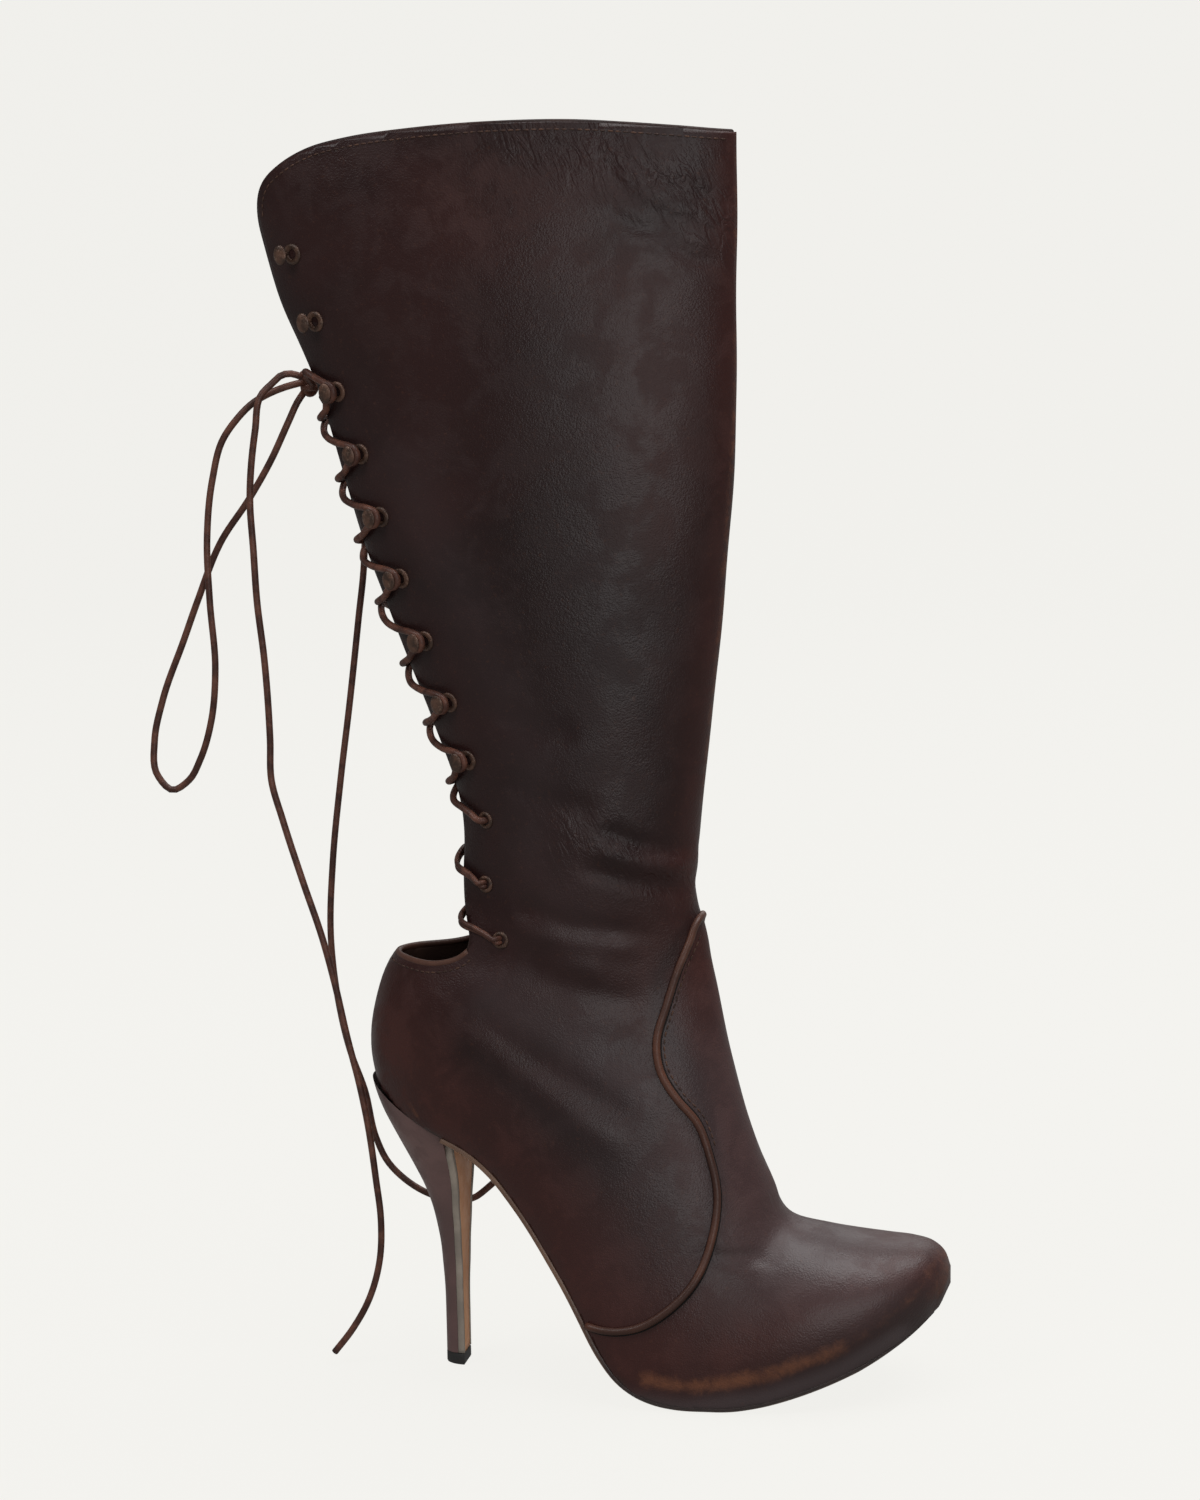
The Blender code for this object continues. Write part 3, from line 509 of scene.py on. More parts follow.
upperLook = {
    "dark": (0.0110, 0.0046, 0.0046),
    "warm": (0.0235, 0.0080, 0.0074),
    "red": (0.0500, 0.0145, 0.0115),
    "rubbed": (0.165, 0.060, 0.027),
    # paintedSheen: a greyish painted sheen, standing in for reflections on the leather
    "paintedSheen": (0.066, 0.048, 0.050),
    "roughLow": 0.36,
    "roughHigh": 0.52,
    "grainDepth": 0.00015,
    "specular": 0.25,
    "coat": 0.03,
    "coatRoughness": 0.30,
    "cloudScale": 14.0,
    "blotchScale": 70.0,
    "shadeShare": 0.75,
    "scuffShare": 0.75,
    "paintedSheenShare": 0.80,
    "fleckShare": 0.10,
    "creaseStretch": (1.0, 1.4, 3.4),
    "creaseTurn": (0.0, -0.47, 0.0),
    "creaseScale": 260.0,
    "creaseDepth": 1.5,
}


def makeUpperLeather():
    look = upperLook
    scales = {"Cloud_Scale": look["cloudScale"], "Blotch_Scale": look["blotchScale"]}
    material, tree, shader, place, dye = newMaterial("upperLeather", **scales)
    grain = useGroup(tree, grainGroup, Vector=place)
    scuff = useGroup(tree, scuffGroup, Vector=place, Mask=maskOf(tree, "scuff"))["Scuff"]
    glow = scaled(tree, maskOf(tree, "glow"), rangeNode(tree, dye["Blotches"], 0.0, 1.0, 0.65, 1.0))
    colour = mixNode(tree, dye["Clouds"], look["dark"], look["warm"])
    for share, tone in (
        (scaled(tree, dye["Blotches"], 0.35), "warm"),
        (glow, "red"),
        (scaled(tree, maskOf(tree, "shade"), look["shadeShare"]), "dark"),
        (scaled(tree, scuff, look["scuffShare"]), "rubbed"),
        # painted sheen: greyish lighter patches where the leather would reflect its surroundings
        (scaled(tree, maskOf(tree, "paintedSheen"), look["paintedSheenShare"]), "paintedSheen"),
        (scaled(tree, dye["Flecks"], look["fleckShare"]), "rubbed"),
    ):
        colour = mixNode(tree, share, colour, look[tone])
    rough = rangeNode(tree, dye["Blotches"], 0.0, 1.0, look["roughLow"], look["roughHigh"])
    rough = mathNode(tree, "ADD", rough, scaled(tree, scuff, 0.15))
    setInputs(shader, {
        "Specular IOR Level": look["specular"],
        "Coat Weight": look["coat"],
        "Coat Roughness": look["coatRoughness"],
    })
    lean = stretched(tree, place, look["creaseStretch"], look["creaseTurn"])
    crinkle = noiseNode(tree, lean, look["creaseScale"], 3.0, 0.5, 0.9)
    crinkle = mathNode(tree, "ABSOLUTE", mathNode(tree, "SUBTRACT", crinkle, 0.5))
    crinkle = rangeNode(tree, crinkle, 0.0, 0.16, 0.0, look["creaseDepth"])
    height = mathNode(tree, "ADD", grain["Height"], scaled(tree, crinkle, maskOf(tree, "crinkle")))
    finishMaterial(tree, shader, colour, rough, height, look["grainDepth"])
    return material


def makePlainLeather(name, dark, light, rough, depth, pebble=1500.0, cloud=30.0):
    # smaller leather pieces: two dye tones, grain and a dull or burnished face
    material, tree, shader, place, dye = newMaterial(name, Cloud_Scale=cloud, Blotch_Scale=cloud * 6)
    grain = useGroup(tree, grainGroup, Vector=place, Pebble_Scale=pebble)
    colour = mixNode(tree, dye["Clouds"], dark, light)
    colour = mixNode(tree, scaled(tree, dye["Blotches"], 0.4), colour, dark)
    sheen = rangeNode(tree, dye["Blotches"], 0.0, 1.0, rough, rough + 0.14)
    setInputs(shader, {"Specular IOR Level": upperLook["specular"], "Coat Weight": 0.05})
    finishMaterial(tree, shader, colour, sheen, grain["Height"], depth)
    return material


def makeEnamel():
    # brown lacquer worn to the metal here and there
    material, tree, shader, place, dye = newMaterial("hookEnamel", Cloud_Scale=300.0, Blotch_Scale=900.0)
    colour = mixNode(tree, dye["Clouds"], (0.040, 0.021, 0.014), (0.105, 0.052, 0.034))
    colour = mixNode(tree, scaled(tree, dye["Flecks"], 0.5), colour, (0.26, 0.17, 0.12))
    rough = rangeNode(tree, dye["Blotches"], 0.0, 1.0, 0.34, 0.55)
    setInputs(shader, {"Metallic": 0.35})
    finishMaterial(tree, shader, colour, rough, dye["Blotches"], 0.00005)
    return material


def makeSoleLeather():
    # tan leather whose trimmed edge is dyed like the upper
    material, tree, shader, place, dye = newMaterial("soleSide", Cloud_Scale=40.0, Blotch_Scale=260.0)
    grain = useGroup(tree, grainGroup, Vector=place, Pebble_Scale=900.0)
    colour = mixNode(tree, dye["Clouds"], (0.150, 0.078, 0.046), (0.230, 0.130, 0.080))
    colour = mixNode(tree, scaled(tree, dye["Flecks"], 0.4), colour, (0.06, 0.03, 0.02))
    edge = mixNode(tree, dye["Blotches"], (0.024, 0.0135, 0.0125), (0.042, 0.025, 0.023))
    colour = mixNode(tree, maskOf(tree, "dyed"), colour, edge)
    rough = rangeNode(tree, dye["Blotches"], 0.0, 1.0, 0.42, 0.6)
    finishMaterial(tree, shader, colour, rough, grain["Height"], 0.0001)
    return material


def makeRubber():
    material, tree, shader, place, _ = newMaterial("liftRubber")
    speckle = noiseNode(tree, place, 900.0, 4.0, 0.6)
    colour = mixNode(tree, speckle, (0.006, 0.006, 0.006), (0.022, 0.021, 0.020))
    finishMaterial(tree, shader, colour, 0.6, speckle, 0.00008)
    return material


# Dark tone, light tone, roughness, grain depth, and where they differ the pebble and cloud scales.
plainLooks = {
    "liningLeather": ((0.050, 0.026, 0.020), (0.085, 0.045, 0.034), 0.62, 0.0001),
    "pipingLeather": ((0.036, 0.0145, 0.010), (0.092, 0.036, 0.022), 0.42, 0.0001),
    "bindingLeather": ((0.040, 0.0165, 0.0115), (0.078, 0.033, 0.022), 0.45, 0.0001),
    "edgeLeather": ((0.012, 0.005, 0.0045), (0.026, 0.0105, 0.008), 0.75, 0.00008),
    "seamShadow": ((0.0022, 0.0012, 0.0010), (0.005, 0.0028, 0.0022), 0.8, 0.00005),
    # the heel's brown leather, its tones lightened and greyed to paint in the sheen that lights the heel
    "heelLeatherPaintedSheen": ((0.0980, 0.0590, 0.0560), (0.155, 0.088, 0.082), 0.40, 0.00012, 1500.0, 25.0),
    "soleLeather": ((0.560, 0.260, 0.125), (0.700, 0.370, 0.200), 0.50, 0.0001, 900.0, 40.0),
    "trimEdge": ((0.220, 0.190, 0.160), (0.340, 0.290, 0.240), 0.6, 0.0001, 900.0, 60.0),
    "insoleLeather": ((0.060, 0.032, 0.021), (0.110, 0.060, 0.040), 0.6, 0.0001),
    "laceLeather": ((0.046, 0.018, 0.013), (0.125, 0.050, 0.033), 0.42, 0.00012, 2200.0, 160.0),
    "threadBrown": ((0.030, 0.015, 0.011), (0.080, 0.038, 0.024), 0.7, 0.00006, 3000.0, 300.0),
    "platformCover": ((0.05, 0.03, 0.02), (0.08, 0.05, 0.035), 0.7, 0.0001),
}
plain = {name: makePlainLeather(name, *look) for name, look in plainLooks.items()}
upperLeather = makeUpperLeather()
soleSide = makeSoleLeather()
hookEnamel = makeEnamel()
liftRubber = makeRubber()
print("materials made")

# The upper: one fine skin from the same sections as the CAD part, with its folds pressed in.
skin = {
    "around": 168,
    "step": 2.3,
    "wall": 1.8,
    "toeFrom": 180.0,
    "dentDepth": 0.7,
    "dentWidth": 9.0,
    "dentShift": 4.0,
    "laced": 10,
    "broadWave": 0.35,
    "smallWave": 0.22,
    "undercut": 0.07,
    "featherReach": 3.0,
    "featherTop": 0.135,
    "lean": 0.02,
}
ridgeLine = (
    (60, 9), (80.6, 11.2), (97.1, 10), (110.4, 11.5), (125.7, 15.4), (139.3, 20.2), (152.7, 25.3),
    (166.2, 33.8), (175, 39.8), (184.4, 51),
)

# Soft folds: depth (a trough is below 0), width, side (-1 near, 1 far, 0 both), then x, z points.
folds = (
    (-0.60, 2.2, 0, (66.2, 457), (73, 444.8), (83.1, 436), (96.5, 431.6)),
    (-0.70, 2, 0, (79.8, 456.8), (84.8, 448.1), (96.6, 442.7), (106.4, 440.8)),
    (-0.81, 1.8, 0, (69.5, 434.5), (79.7, 429.8), (93.2, 428.2)),
    (0.40, 2.4, 0, (72, 452), (80, 441), (92, 436.5), (104, 435.5)),
    (-0.68, 2.2, -1, (88, 425), (97, 419), (106, 417)),
    (-1.49, 3.4, 0, (64.2, 215.2), (77.8, 209), (93.5, 204.5)),
    (1.35, 4, 0, (62, 209), (77.8, 202.5), (94, 197.5)),
    (-1.35, 3.2, 0, (56, 202.2), (74, 195.9), (94.1, 190.1)),
    (-0.94, 3.6, 0, (30, 188), (52.6, 179.7), (78, 176.4)),
    (0.81, 4, 0, (28, 181), (50.6, 172.7), (78, 169.4)),
    (-1, 6, -1, (10, 151), (22, 142.6), (36, 131.5), (48.9, 122.3), (62, 115), (78, 108)),
    (0.8, 6, -1, (8, 141), (28.1, 128.1), (43.1, 117.5), (59.9, 105), (76, 96)),
    (-1.08, 5, 1, (18.7, 145), (30, 136), (42.9, 124.2), (56, 114.3)),
    (-0.9, 5, 0, (129, 73), (125.5, 62), (121, 53)),
    (0.5, 5, 0, (118, 80), (115, 68), (112, 58)),
    (-0.68, 1.4, 0, (99.6, 60), (111.1, 57.9), (122.2, 57.9)),
    (-0.54, 1.3, 0, (102.1, 56.4), (113.1, 54.5), (121.7, 55.1)),
    (0.61, 1, -1, (-1.4, 147.1), (1.3, 143), (1.3, 138.3), (-1.8, 130.6)),
    (-1.08, 5, 0, (27.5, 236.5), (42.7, 226.1), (64.3, 220.8)),
    (-0.81, 5, 0, (20.4, 258.5), (35.8, 251.7), (57.7, 250.2)),
    (-1.08, 6, -1, (33.7, 166), (48.4, 157), (69.9, 151.1), (80.4, 150.7)),
    (0.94, 6, -1, (30, 176), (46, 167), (66, 161)),
)

# Where each colour mask lies: strength, width, side, then x, z points.
tones = {
    "scuff": (
        (0.72, 4.6, 0, (80.6, 12.4), (97.1, 11.2), (110.4, 12.7), (125.7, 16.4), (139.3, 21.2), (152.7, 26.3)),
        (0.44, 4.2, 0, (139.3, 21.2), (152.7, 26.3), (166.2, 34.8), (175, 40.8), (184.4, 52)),
        (0.50, 5.5, 0, (184, 40), (187.5, 46), (187, 52)),
        (0.62, 1.6, -1, (-10.3, 108.4), (-7.5, 104.2)),
        (0.30, 0.8, -1, (18.2, 446.3), (20, 441.4)),
        (0.30, 0.8, -1, (1.2, 361.7), (4.5, 357.1)),
        (0.50, 1.5, 0, (111.8, 470), (111.4, 405), (110.9, 370.1), (105.2, 290), (97.5, 222)),
    ),
    "glow": (
        (0.90, 27, 0, (-22, 130), (-5, 110), (20, 85), (50, 50), (78, 22)),
        (0.85, 22, 0, (100, 165), (108, 120), (116, 85)),
        (0.75, 13, 0, (110, 22), (140, 36), (170, 50), (186, 48)),
        (0.60, 7, 0, (111.8, 470), (111.3, 405), (109.1, 330), (100.8, 250), (95, 195)),
        (0.40, 26, 0, (20, 440), (60, 400), (80, 330)),
    ),
    # painted sheen: greyish lighter bands, also along the downward-turned lower edge that would otherwise sit
    # in shade
    "paintedSheen": (
        (0.42, 11, 0, (24, 152), (45, 140), (66, 128), (80, 118)),
        (0.18, 12, 0, (60, 175), (40, 205), (40, 240), (20, 290), (-5, 345)),
        (0.95, 4.5, 0, (70, 3), (97, 2), (125, 7), (152, 17), (172, 28)),
        (0.55, 27, 0, (108, 120), (118, 85), (135, 60), (160, 52)),
        (0.20, 26, 0, (60, 120), (80, 90), (84, 60)),
        (0.30, 9, 0, (104, 150), (112, 105), (124, 74)),
    ),
    "shade": (
        (0.85, 6, 0, (14, 133), (40, 113), (70, 90)),
        (1.00, 30, 0, (50, 395), (58, 300), (52, 245)),
        (0.90, 4, 0, (97, 182), (84, 160), (83, 146), (97, 120), (105, 85), (104, 60)),
        (0.60, 8, 0, (-60, 425), (-30, 350), (0, 270), (14, 205)),
    ),
    "crinkle": (
        (1.00, 13, 0, (40, 462), (64, 456), (84, 448), (100, 440), (106, 428)),
        (0.75, 14, 0, (56, 214), (80, 200), (94, 190)),
        (0.50, 6, 0, (126, 72), (112, 64), (102, 58)),
    ),
}


def sectionRing(row, count):
    # one closed section, with its points spread evenly along each half
    frontX, frontZ, backX, backZ, half, widest, backBow, frontBow, swing = row
    turn = np.linspace(0.0, math.pi, 1200)
    along = np.cos(turn)
    bow = np.where(along >= 0, backBow, frontBow)
    reach = np.where(along >= 0, widest, 1 - widest)
    share = widest - np.sign(along) * reach * np.abs(along) ** bow
    side = half * np.sin(turn) ** bow
    line = np.stack((backX + (frontX - backX) * share, side, backZ + (frontZ - backZ) * share), axis=1)
    halfRing = evenAlong(line, count // 2)
    ring = np.concatenate((halfRing * (1, -1, 1), halfRing[1:-1][::-1]))
    ring[:, 1] += swing
    return ring


def skinGrid(step, count):
    rows = rowsOf(sectionRows)
    moves = np.abs(np.diff(rows[:, :4], axis=0))
    lengths = (np.hypot(moves[:, 0], moves[:, 1]) + np.hypot(moves[:, 2], moves[:, 3])) / 2
    knots = np.concatenate(([0.0], np.cumsum(lengths)))
    stops = np.linspace(0.0, knots[-1], round(knots[-1] / step) + 1)
    return np.array([sectionRing(row, count) for row in smoothRows(knots, rows, stops)])


def gridNormals(grid):
    around = np.roll(grid, -1, axis=1) - np.roll(grid, 1, axis=1)
    along = np.gradient(grid, axis=0)
    normals = np.cross(along, around)
    return normals / np.maximum(np.linalg.norm(normals, axis=2, keepdims=True), 1e-9)


def sideShare(points, side):
    # 1 on the given side of the boot, fading over the middle
    if side == 0:
        return np.ones(len(points))
    return np.clip(0.5 + points[:, 1] * side / 12.0, 0.0, 1.0)


def reliefOf(points):
    # how far each place stands out from the plain form, in millimetres
    places = points[:, (0, 2)]
    relief = np.zeros(len(points))
    for depth, width, side, *line in folds:
        distance, along = lineDistance(places, line)
        taper = np.clip(np.minimum(along, 1 - along) * 6 + 0.15, 0.0, 1.0)
        taper = np.where(distance > width * 3, 0.0, taper)
        relief += depth * np.exp(-((distance / width) ** 2)) * taper * sideShare(points, side)
    for x, z, _ in eyeletPlaces[:skin["laced"]]:
        distance = np.hypot(places[:, 0] - x - skin["dentShift"], places[:, 1] - z)
        relief -= skin["dentDepth"] * np.exp(-((distance / skin["dentWidth"]) ** 2))
    x, y, z = points.T
    relief += skin["broadWave"] * np.sin(x / 19 + z / 31 + 1.3) * np.sin(z / 23 - y / 17 + 0.4)
    relief += skin["smallWave"] * np.sin(x / 11 - z / 13 + y / 9 + 2.1) * np.sin(z / 17 + x / 29)
    return relief


def platformUndercut(points):
    # below the rubbed line the cover turns in under the platform
    x, _, z = points.T
    below = np.clip(np.interp(x, *rowsOf(ridgeLine).T) - z, 0.0, 14.0)
    return below * skin["undercut"] * rampOf(x, 66.0, 82.0) * rampOf(x, 188.0, 174.0)


def outlineShape():
    # the last two points close the outline in front of the boot
    lines = [smoothPath(table, 2.0) for table in (topLine, flapLine, rimLine, featherLine)]
    return np.vstack(lines + [rowsOf(((242.0, 67.0), (136.0, 183.0)))])


def outlineDistance(places, outline):
    # how far outside the outline each place is; inside is below 0
    closed = np.vstack((outline, outline[:1]))
    distance, _ = lineDistance(places, closed)
    inside = np.zeros(len(places), dtype=bool)
    for (x1, z1), (x2, z2) in zip(closed[:-1], closed[1:]):
        crossing = (z1 > places[:, 1]) != (z2 > places[:, 1])
        if z1 != z2:
            inside ^= crossing & (places[:, 0] < (x2 - x1) * (places[:, 1] - z1) / (z2 - z1) + x1)
    return np.where(inside, -distance, distance)


def cutByValue(bm, values):
    # splits faces where the values change sign and deletes the part above 0
    bm.verts.ensure_lookup_table()
    level = {vert: value for vert, value in zip(bm.verts, values)}
    for edge in list(bm.edges):
        first, second = edge.verts
        if level[first] * level[second] < 0:
            share = level[first] / (level[first] - level[second])
            made = bmesh.utils.edge_split(edge, first, share)[1]
            level[made] = 0.0
    for face in list(bm.faces):
        onLine = [vert for vert in face.verts if level[vert] == 0.0]
        if len(onLine) == 2 and not any(onLine[1] in edge.verts for edge in onLine[0].link_edges):
            bmesh.utils.face_split(face, onLine[0], onLine[1])
    gone = [face for face in bm.faces if sum(level[vert] for vert in face.verts) > 0]
    bmesh.ops.delete(bm, geom=gone, context="FACES")


def boundaryLoops(bm):
    left = dict.fromkeys(edge for edge in bm.edges if edge.is_boundary)
    loops = []
    while left:
        edge = next(iter(left))
        chain = list(edge.verts)
        while edge:
            del left[edge]
            edge = next((other for other in chain[-1].link_edges if other in left), None)
            if edge:
                chain.append(edge.other_vert(chain[-1]))
        loops.append(chain)
    return loops


def openMesh(name, points, faces, values):
    # the part of a mesh where the values are below 0, as a bmesh
    mesh = meshFrom(name, points, faces)
    bm = bmesh.new()
    bm.from_mesh(mesh)
    cutByValue(bm, values)
    bmesh.ops.delete(bm, geom=[vert for vert in bm.verts if not vert.link_faces], context="VERTS")
    bmesh.ops.recalc_face_normals(bm, faces=bm.faces)
    return bm


def makeSkin():
    grid = skinGrid(skin["step"], skin["around"])
    rings, around, _ = grid.shape
    points = grid.reshape(-1, 3)
    tip = np.array(toePoint)
    normals = gridNormals(grid).reshape(-1, 3)
    outward = np.sign((normals * (points - points.mean(axis=0))).sum())
    moved = points + normals * outward * reliefOf(points)[:, None]
    under = platformUndercut(points)
    side = np.sign(points[:, 1] - points[:, 0] * skin["lean"])
    moved[:, 1] -= side * np.minimum(under, np.abs(points[:, 1]))
    faces = ringFaces(rings, around, flip=True)
    last = (rings - 1) * around
    faces += [(last + index, len(points), last + (index + 1) % around) for index in range(around)]
    places = np.vstack((points, tip))[:, (0, 2)]
    values = outlineDistance(places, outlineShape())
    bm = openMesh("skin", np.vstack((moved, tip)) * mm, faces, values)
    if sum(face.normal.y * face.calc_center_median().y for face in bm.faces) < 0:
        bmesh.ops.reverse_faces(bm, faces=bm.faces)
    return bm


skinMesh = makeSkin()
skinMesh.verts.ensure_lookup_table()
skinTree = BVHTree.FromBMesh(skinMesh)
skinPlaces = np.array([vert.co[:] for vert in skinMesh.verts]) / mm
edgeChains = boundaryLoops(skinMesh)
edgeLoops = [[vert.co.copy() for vert in loop] for loop in edgeChains]
edgeNormals = [[vert.normal.copy() for vert in loop] for loop in edgeChains]
featherPath = smoothPath(featherLine, 2.0)
print("skin cut:", len(skinMesh.verts), "points,", [len(loop) for loop in edgeLoops], "edge points")


def toneMask(points, lines):
    mask = np.zeros(len(points))
    for strength, width, side, *line in lines:
        distance, _ = lineDistance(points[:, (0, 2)], line)
        mask = np.maximum(mask, strength * np.exp(-((distance / width) ** 2)) * sideShare(points, side))
    return mask


def dress(piece, slotName, *nodes):
    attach(piece, "root")
    if nodes:
        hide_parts(*nodes)
    return piece


def finishSkin():
    mesh = bpy.data.meshes.new("bootUpper")
    skinMesh.to_mesh(mesh)
    for polygon in mesh.polygons:
        polygon.use_smooth = True
    for name, lines in tones.items():
        addMask(mesh, name, toneMask(skinPlaces, lines))
    piece = newObject("bootUpper", mesh, upperLeather, plain["liningLeather"])
    shell = piece.modifiers.new("wall", "SOLIDIFY")
    shell.thickness = skin["wall"] * mm
    shell.offset = -1.0
    shell.use_even_offset = False
    shell.material_offset = 1
    shell.material_offset_rim = 1
    applyModifiers(piece)
    # at the toe the wall stays behind the skin and above the feather line
    outside = len(mesh.vertices)
    verts = piece.data.vertices
    for index, vert in enumerate(verts):
        if vert.co.x > skin["toeFrom"] * mm:
            if index >= outside:
                vert.co.x = min(vert.co.x, verts[index - outside].co.x)
            lowest = np.interp(vert.co.x / mm, featherPath[:, 0], featherPath[:, 1])
            vert.co.z = max(vert.co.z, lowest * mm)
    return dress(piece, "upper_leather", "upper")


bootUpper = finishSkin()
print("upper made:", len(bootUpper.data.polygons), "faces")


def onSkin(x, z, side):
    # the place on the outside of the skin that the side view shows there, and its direction outwards
    start = Vector((x * mm, side * 0.09, z * mm))
    spot, normal, _, _ = skinTree.ray_cast(start, Vector((0.0, -side, 0.0)))
    if spot is None:
        return None, None
    return spot, normal if normal.y * side >= 0 else -normal


def lineOnSkin(path, side, lift=0.0):
    # a side-view path laid on one side of the skin, lifted off it
    found = [onSkin(x, z, side) for x, z in path]
    return [spot + normal * lift for spot, normal in found if spot is not None]


# Rounded edges: a thin roll on the flaps and top, a wider pale binding on the counter's rim.
edgeRoll = {
    "flap": 0.95,
    "rim": 1.35,
    "flat": 0.9,
    "spacing": 1.6,
    "rimTop": 0.172,
    "rimFront": 0.0135,
}


def edgeKind(point):
    if point is None or isFeather(point):
        return "end"
    return "rim" if point.z < edgeRoll["rimTop"] and point.x < edgeRoll["rimFront"] else "flap"


def makeEdgeRolls():
    meshes = {"flap": [], "rim": []}
    for loop, normals in zip(edgeLoops, edgeNormals):
        start = next((index for index, point in enumerate(loop) if isFeather(point)), 0)
        loop = loop[start:] + loop[:start] + [None]
        normals = normals[start:] + normals[:start] + [None]
        run = []
        runKind = "end"
        for point, normal in zip(loop, normals):
            kind = edgeKind(point)
            if kind != runKind:
                if len(run) > 3:
                    meshes[runKind].append(rollMesh(run, edgeRoll[runKind] * mm))
                run = run[-1:] if kind != "end" else []
                runKind = kind
            if kind != "end":
                run.append((point, normal))
    for kind, name, material, slotName in (
        ("flap", "edgeRoll", "edgeLeather", "upper_leather"),
        ("rim", "rimBinding", "bindingLeather", "piping_leather"),
    ):
        dress(newObject(name, joinMeshes(name, meshes[kind]), plain[material]), slotName)


def isFeather(point):
    # the lower edge, which the sole covers
    height = np.interp(point.x / mm, *featherPath.T)
    return abs(point.z / mm - height) < skin["featherReach"] and point.z < skin["featherTop"]


def rollMesh(run, radius):
    points = [point - normal * skin["wall"] / 2 * mm for point, normal in run]
    path = smoothed(points, edgeRoll["spacing"] * mm)
    ways = [nearestNormal(point) for point in path]
    return tubeMesh("roll", path, radius, 10, edgeRoll["flat"], ways)


def smoothed(points, spacing):
    # evenly spaced points along a jagged line, with its steps smoothed away
    rows = np.array([point[:] for point in points])
    rows = rows[np.concatenate(([True], np.diff(pathLengths(rows)) > 1e-7))]
    even = evenAlong(rows, stepsAlong(rows, spacing))
    for _ in range(3):
        even[1:-1] = (even[:-2] + even[1:-1] * 2 + even[2:]) / 4
    return [Vector(row) for row in even]


def nearestNormal(point):
    return skinTree.find_nearest(point)[1]


makeEdgeRolls()
print("edges rolled")


# Stitches: short raised grains of thread on the leather, one joined mesh a row.
stitching = {"length": 2.1, "pitch": 2.7, "width": 0.34, "height": 0.22}


def stitchMesh(spot, run, normal, length, width, height):
    aside = run.cross(normal)
    points = []
    for share, size in ((-0.5, 0.25), (-0.25, 0.9), (0.0, 1.0), (0.25, 0.9), (0.5, 0.25)):
        for turn in range(6):
            angle = math.pi * turn / 3
            out = normal * (math.sin(angle) * height * size)
            points.append(spot + run * share * length + aside * math.cos(angle) * width * size + out)
    return points, ringFaces(5, 6) + endFaces(5, 6)


def makeStitches(name, lines, slotName):
    # lines holds 3-D paths in metres that already lie on the skin
    points = []
    faces = []
    for line in lines:
        rows = np.array([point[:] for point in line])
        lengths = pathLengths(rows)
        pitch = stitching["pitch"] * mm
        for at in np.arange(pitch, lengths[-1] - pitch, pitch):
            before, middle, after = (
                Vector([np.interp(at + step, lengths, column) for column in rows.T]) for step in (-mm, 0.0, mm)
            )
            spot, normal, _, _ = skinTree.find_nearest(middle)
            if (after - before).length < 1e-4:
                continue
            run = (after - before).normalized()
            run = (run - normal * run.dot(normal)).normalized()
            sizes = (stitching[size] * mm for size in ("length", "width", "height"))
            morePoints, moreFaces = stitchMesh(spot + normal * 0.05 * mm, run, normal, *sizes)
            base = len(points)
            points.extend(morePoints)
            faces.extend(tuple(base + index for index in face) for face in moreFaces)
    dress(newObject(name, meshFrom(name, points, faces), plain["threadBrown"]), slotName)


def stitchRow(name, table, inset, slotName):
    # a side-view line moved to its left by inset, sewn on both sides
    path = smoothPath(table, 2.0)
    runs = directionsOf(path)
    moved = path + np.stack((-runs[:, 1], runs[:, 0]), axis=1) * inset
    makeStitches(name, [lineOnSkin(moved, side) for side in (nearSide, farSide)], slotName)


stitchRow("topStitches", topLine, 2.7, "upper_leather")
stitchRow("rimStitches", rimLine, 2.9, "piping_leather")
stitchRow("vampStitches", pipingLine[2:11], 2.9, "piping_leather")
print("stitches sewn")


# The cord that edges the vamp, on both sides and over the instep.
piping = {"radius": 1.45, "lift": 0.66, "spacing": 1.4, "flat": 0.9}
# A thin dark strip beside the piping is a painted shadow of the piping's step on the quarter side.
pipingShadow = {"radius": 0.42, "aside": 1.624, "sink": 0.55, "flat": 0.8}


def makePiping():
    path = smoothPath(pipingLine, 1.5)
    near, far = (lineOnSkin(path, side, piping["lift"] * mm) for side in (nearSide, farSide))
    line = smoothed(near[::-1] + far, piping["spacing"] * mm)
    ways = [nearestNormal(point) for point in line]
    # the dark strip's path: painted shadow along the piping
    shadowPath = []
    for index, point in enumerate(line):
        run = (line[min(index + 1, len(line) - 1)] - line[max(index - 1, 0)]).normalized()
        aside = run.cross(ways[index]) * pipingShadow["aside"]
        shadowPath.append(point + (aside - ways[index] * pipingShadow["sink"]) * mm)
    mesh = tubeMesh("pipingShadow", shadowPath, pipingShadow["radius"] * mm, 8, pipingShadow["flat"], ways)
    dress(newObject("pipingShadow", mesh, plain["seamShadow"]), "piping_leather")
    mesh = tubeMesh("vampPiping", line, piping["radius"] * mm, 12, piping["flat"], ways)
    dress(newObject("vampPiping", mesh, plain["pipingLeather"]), "piping_leather", "vamp_piping")


makePiping()
print("piping laid")

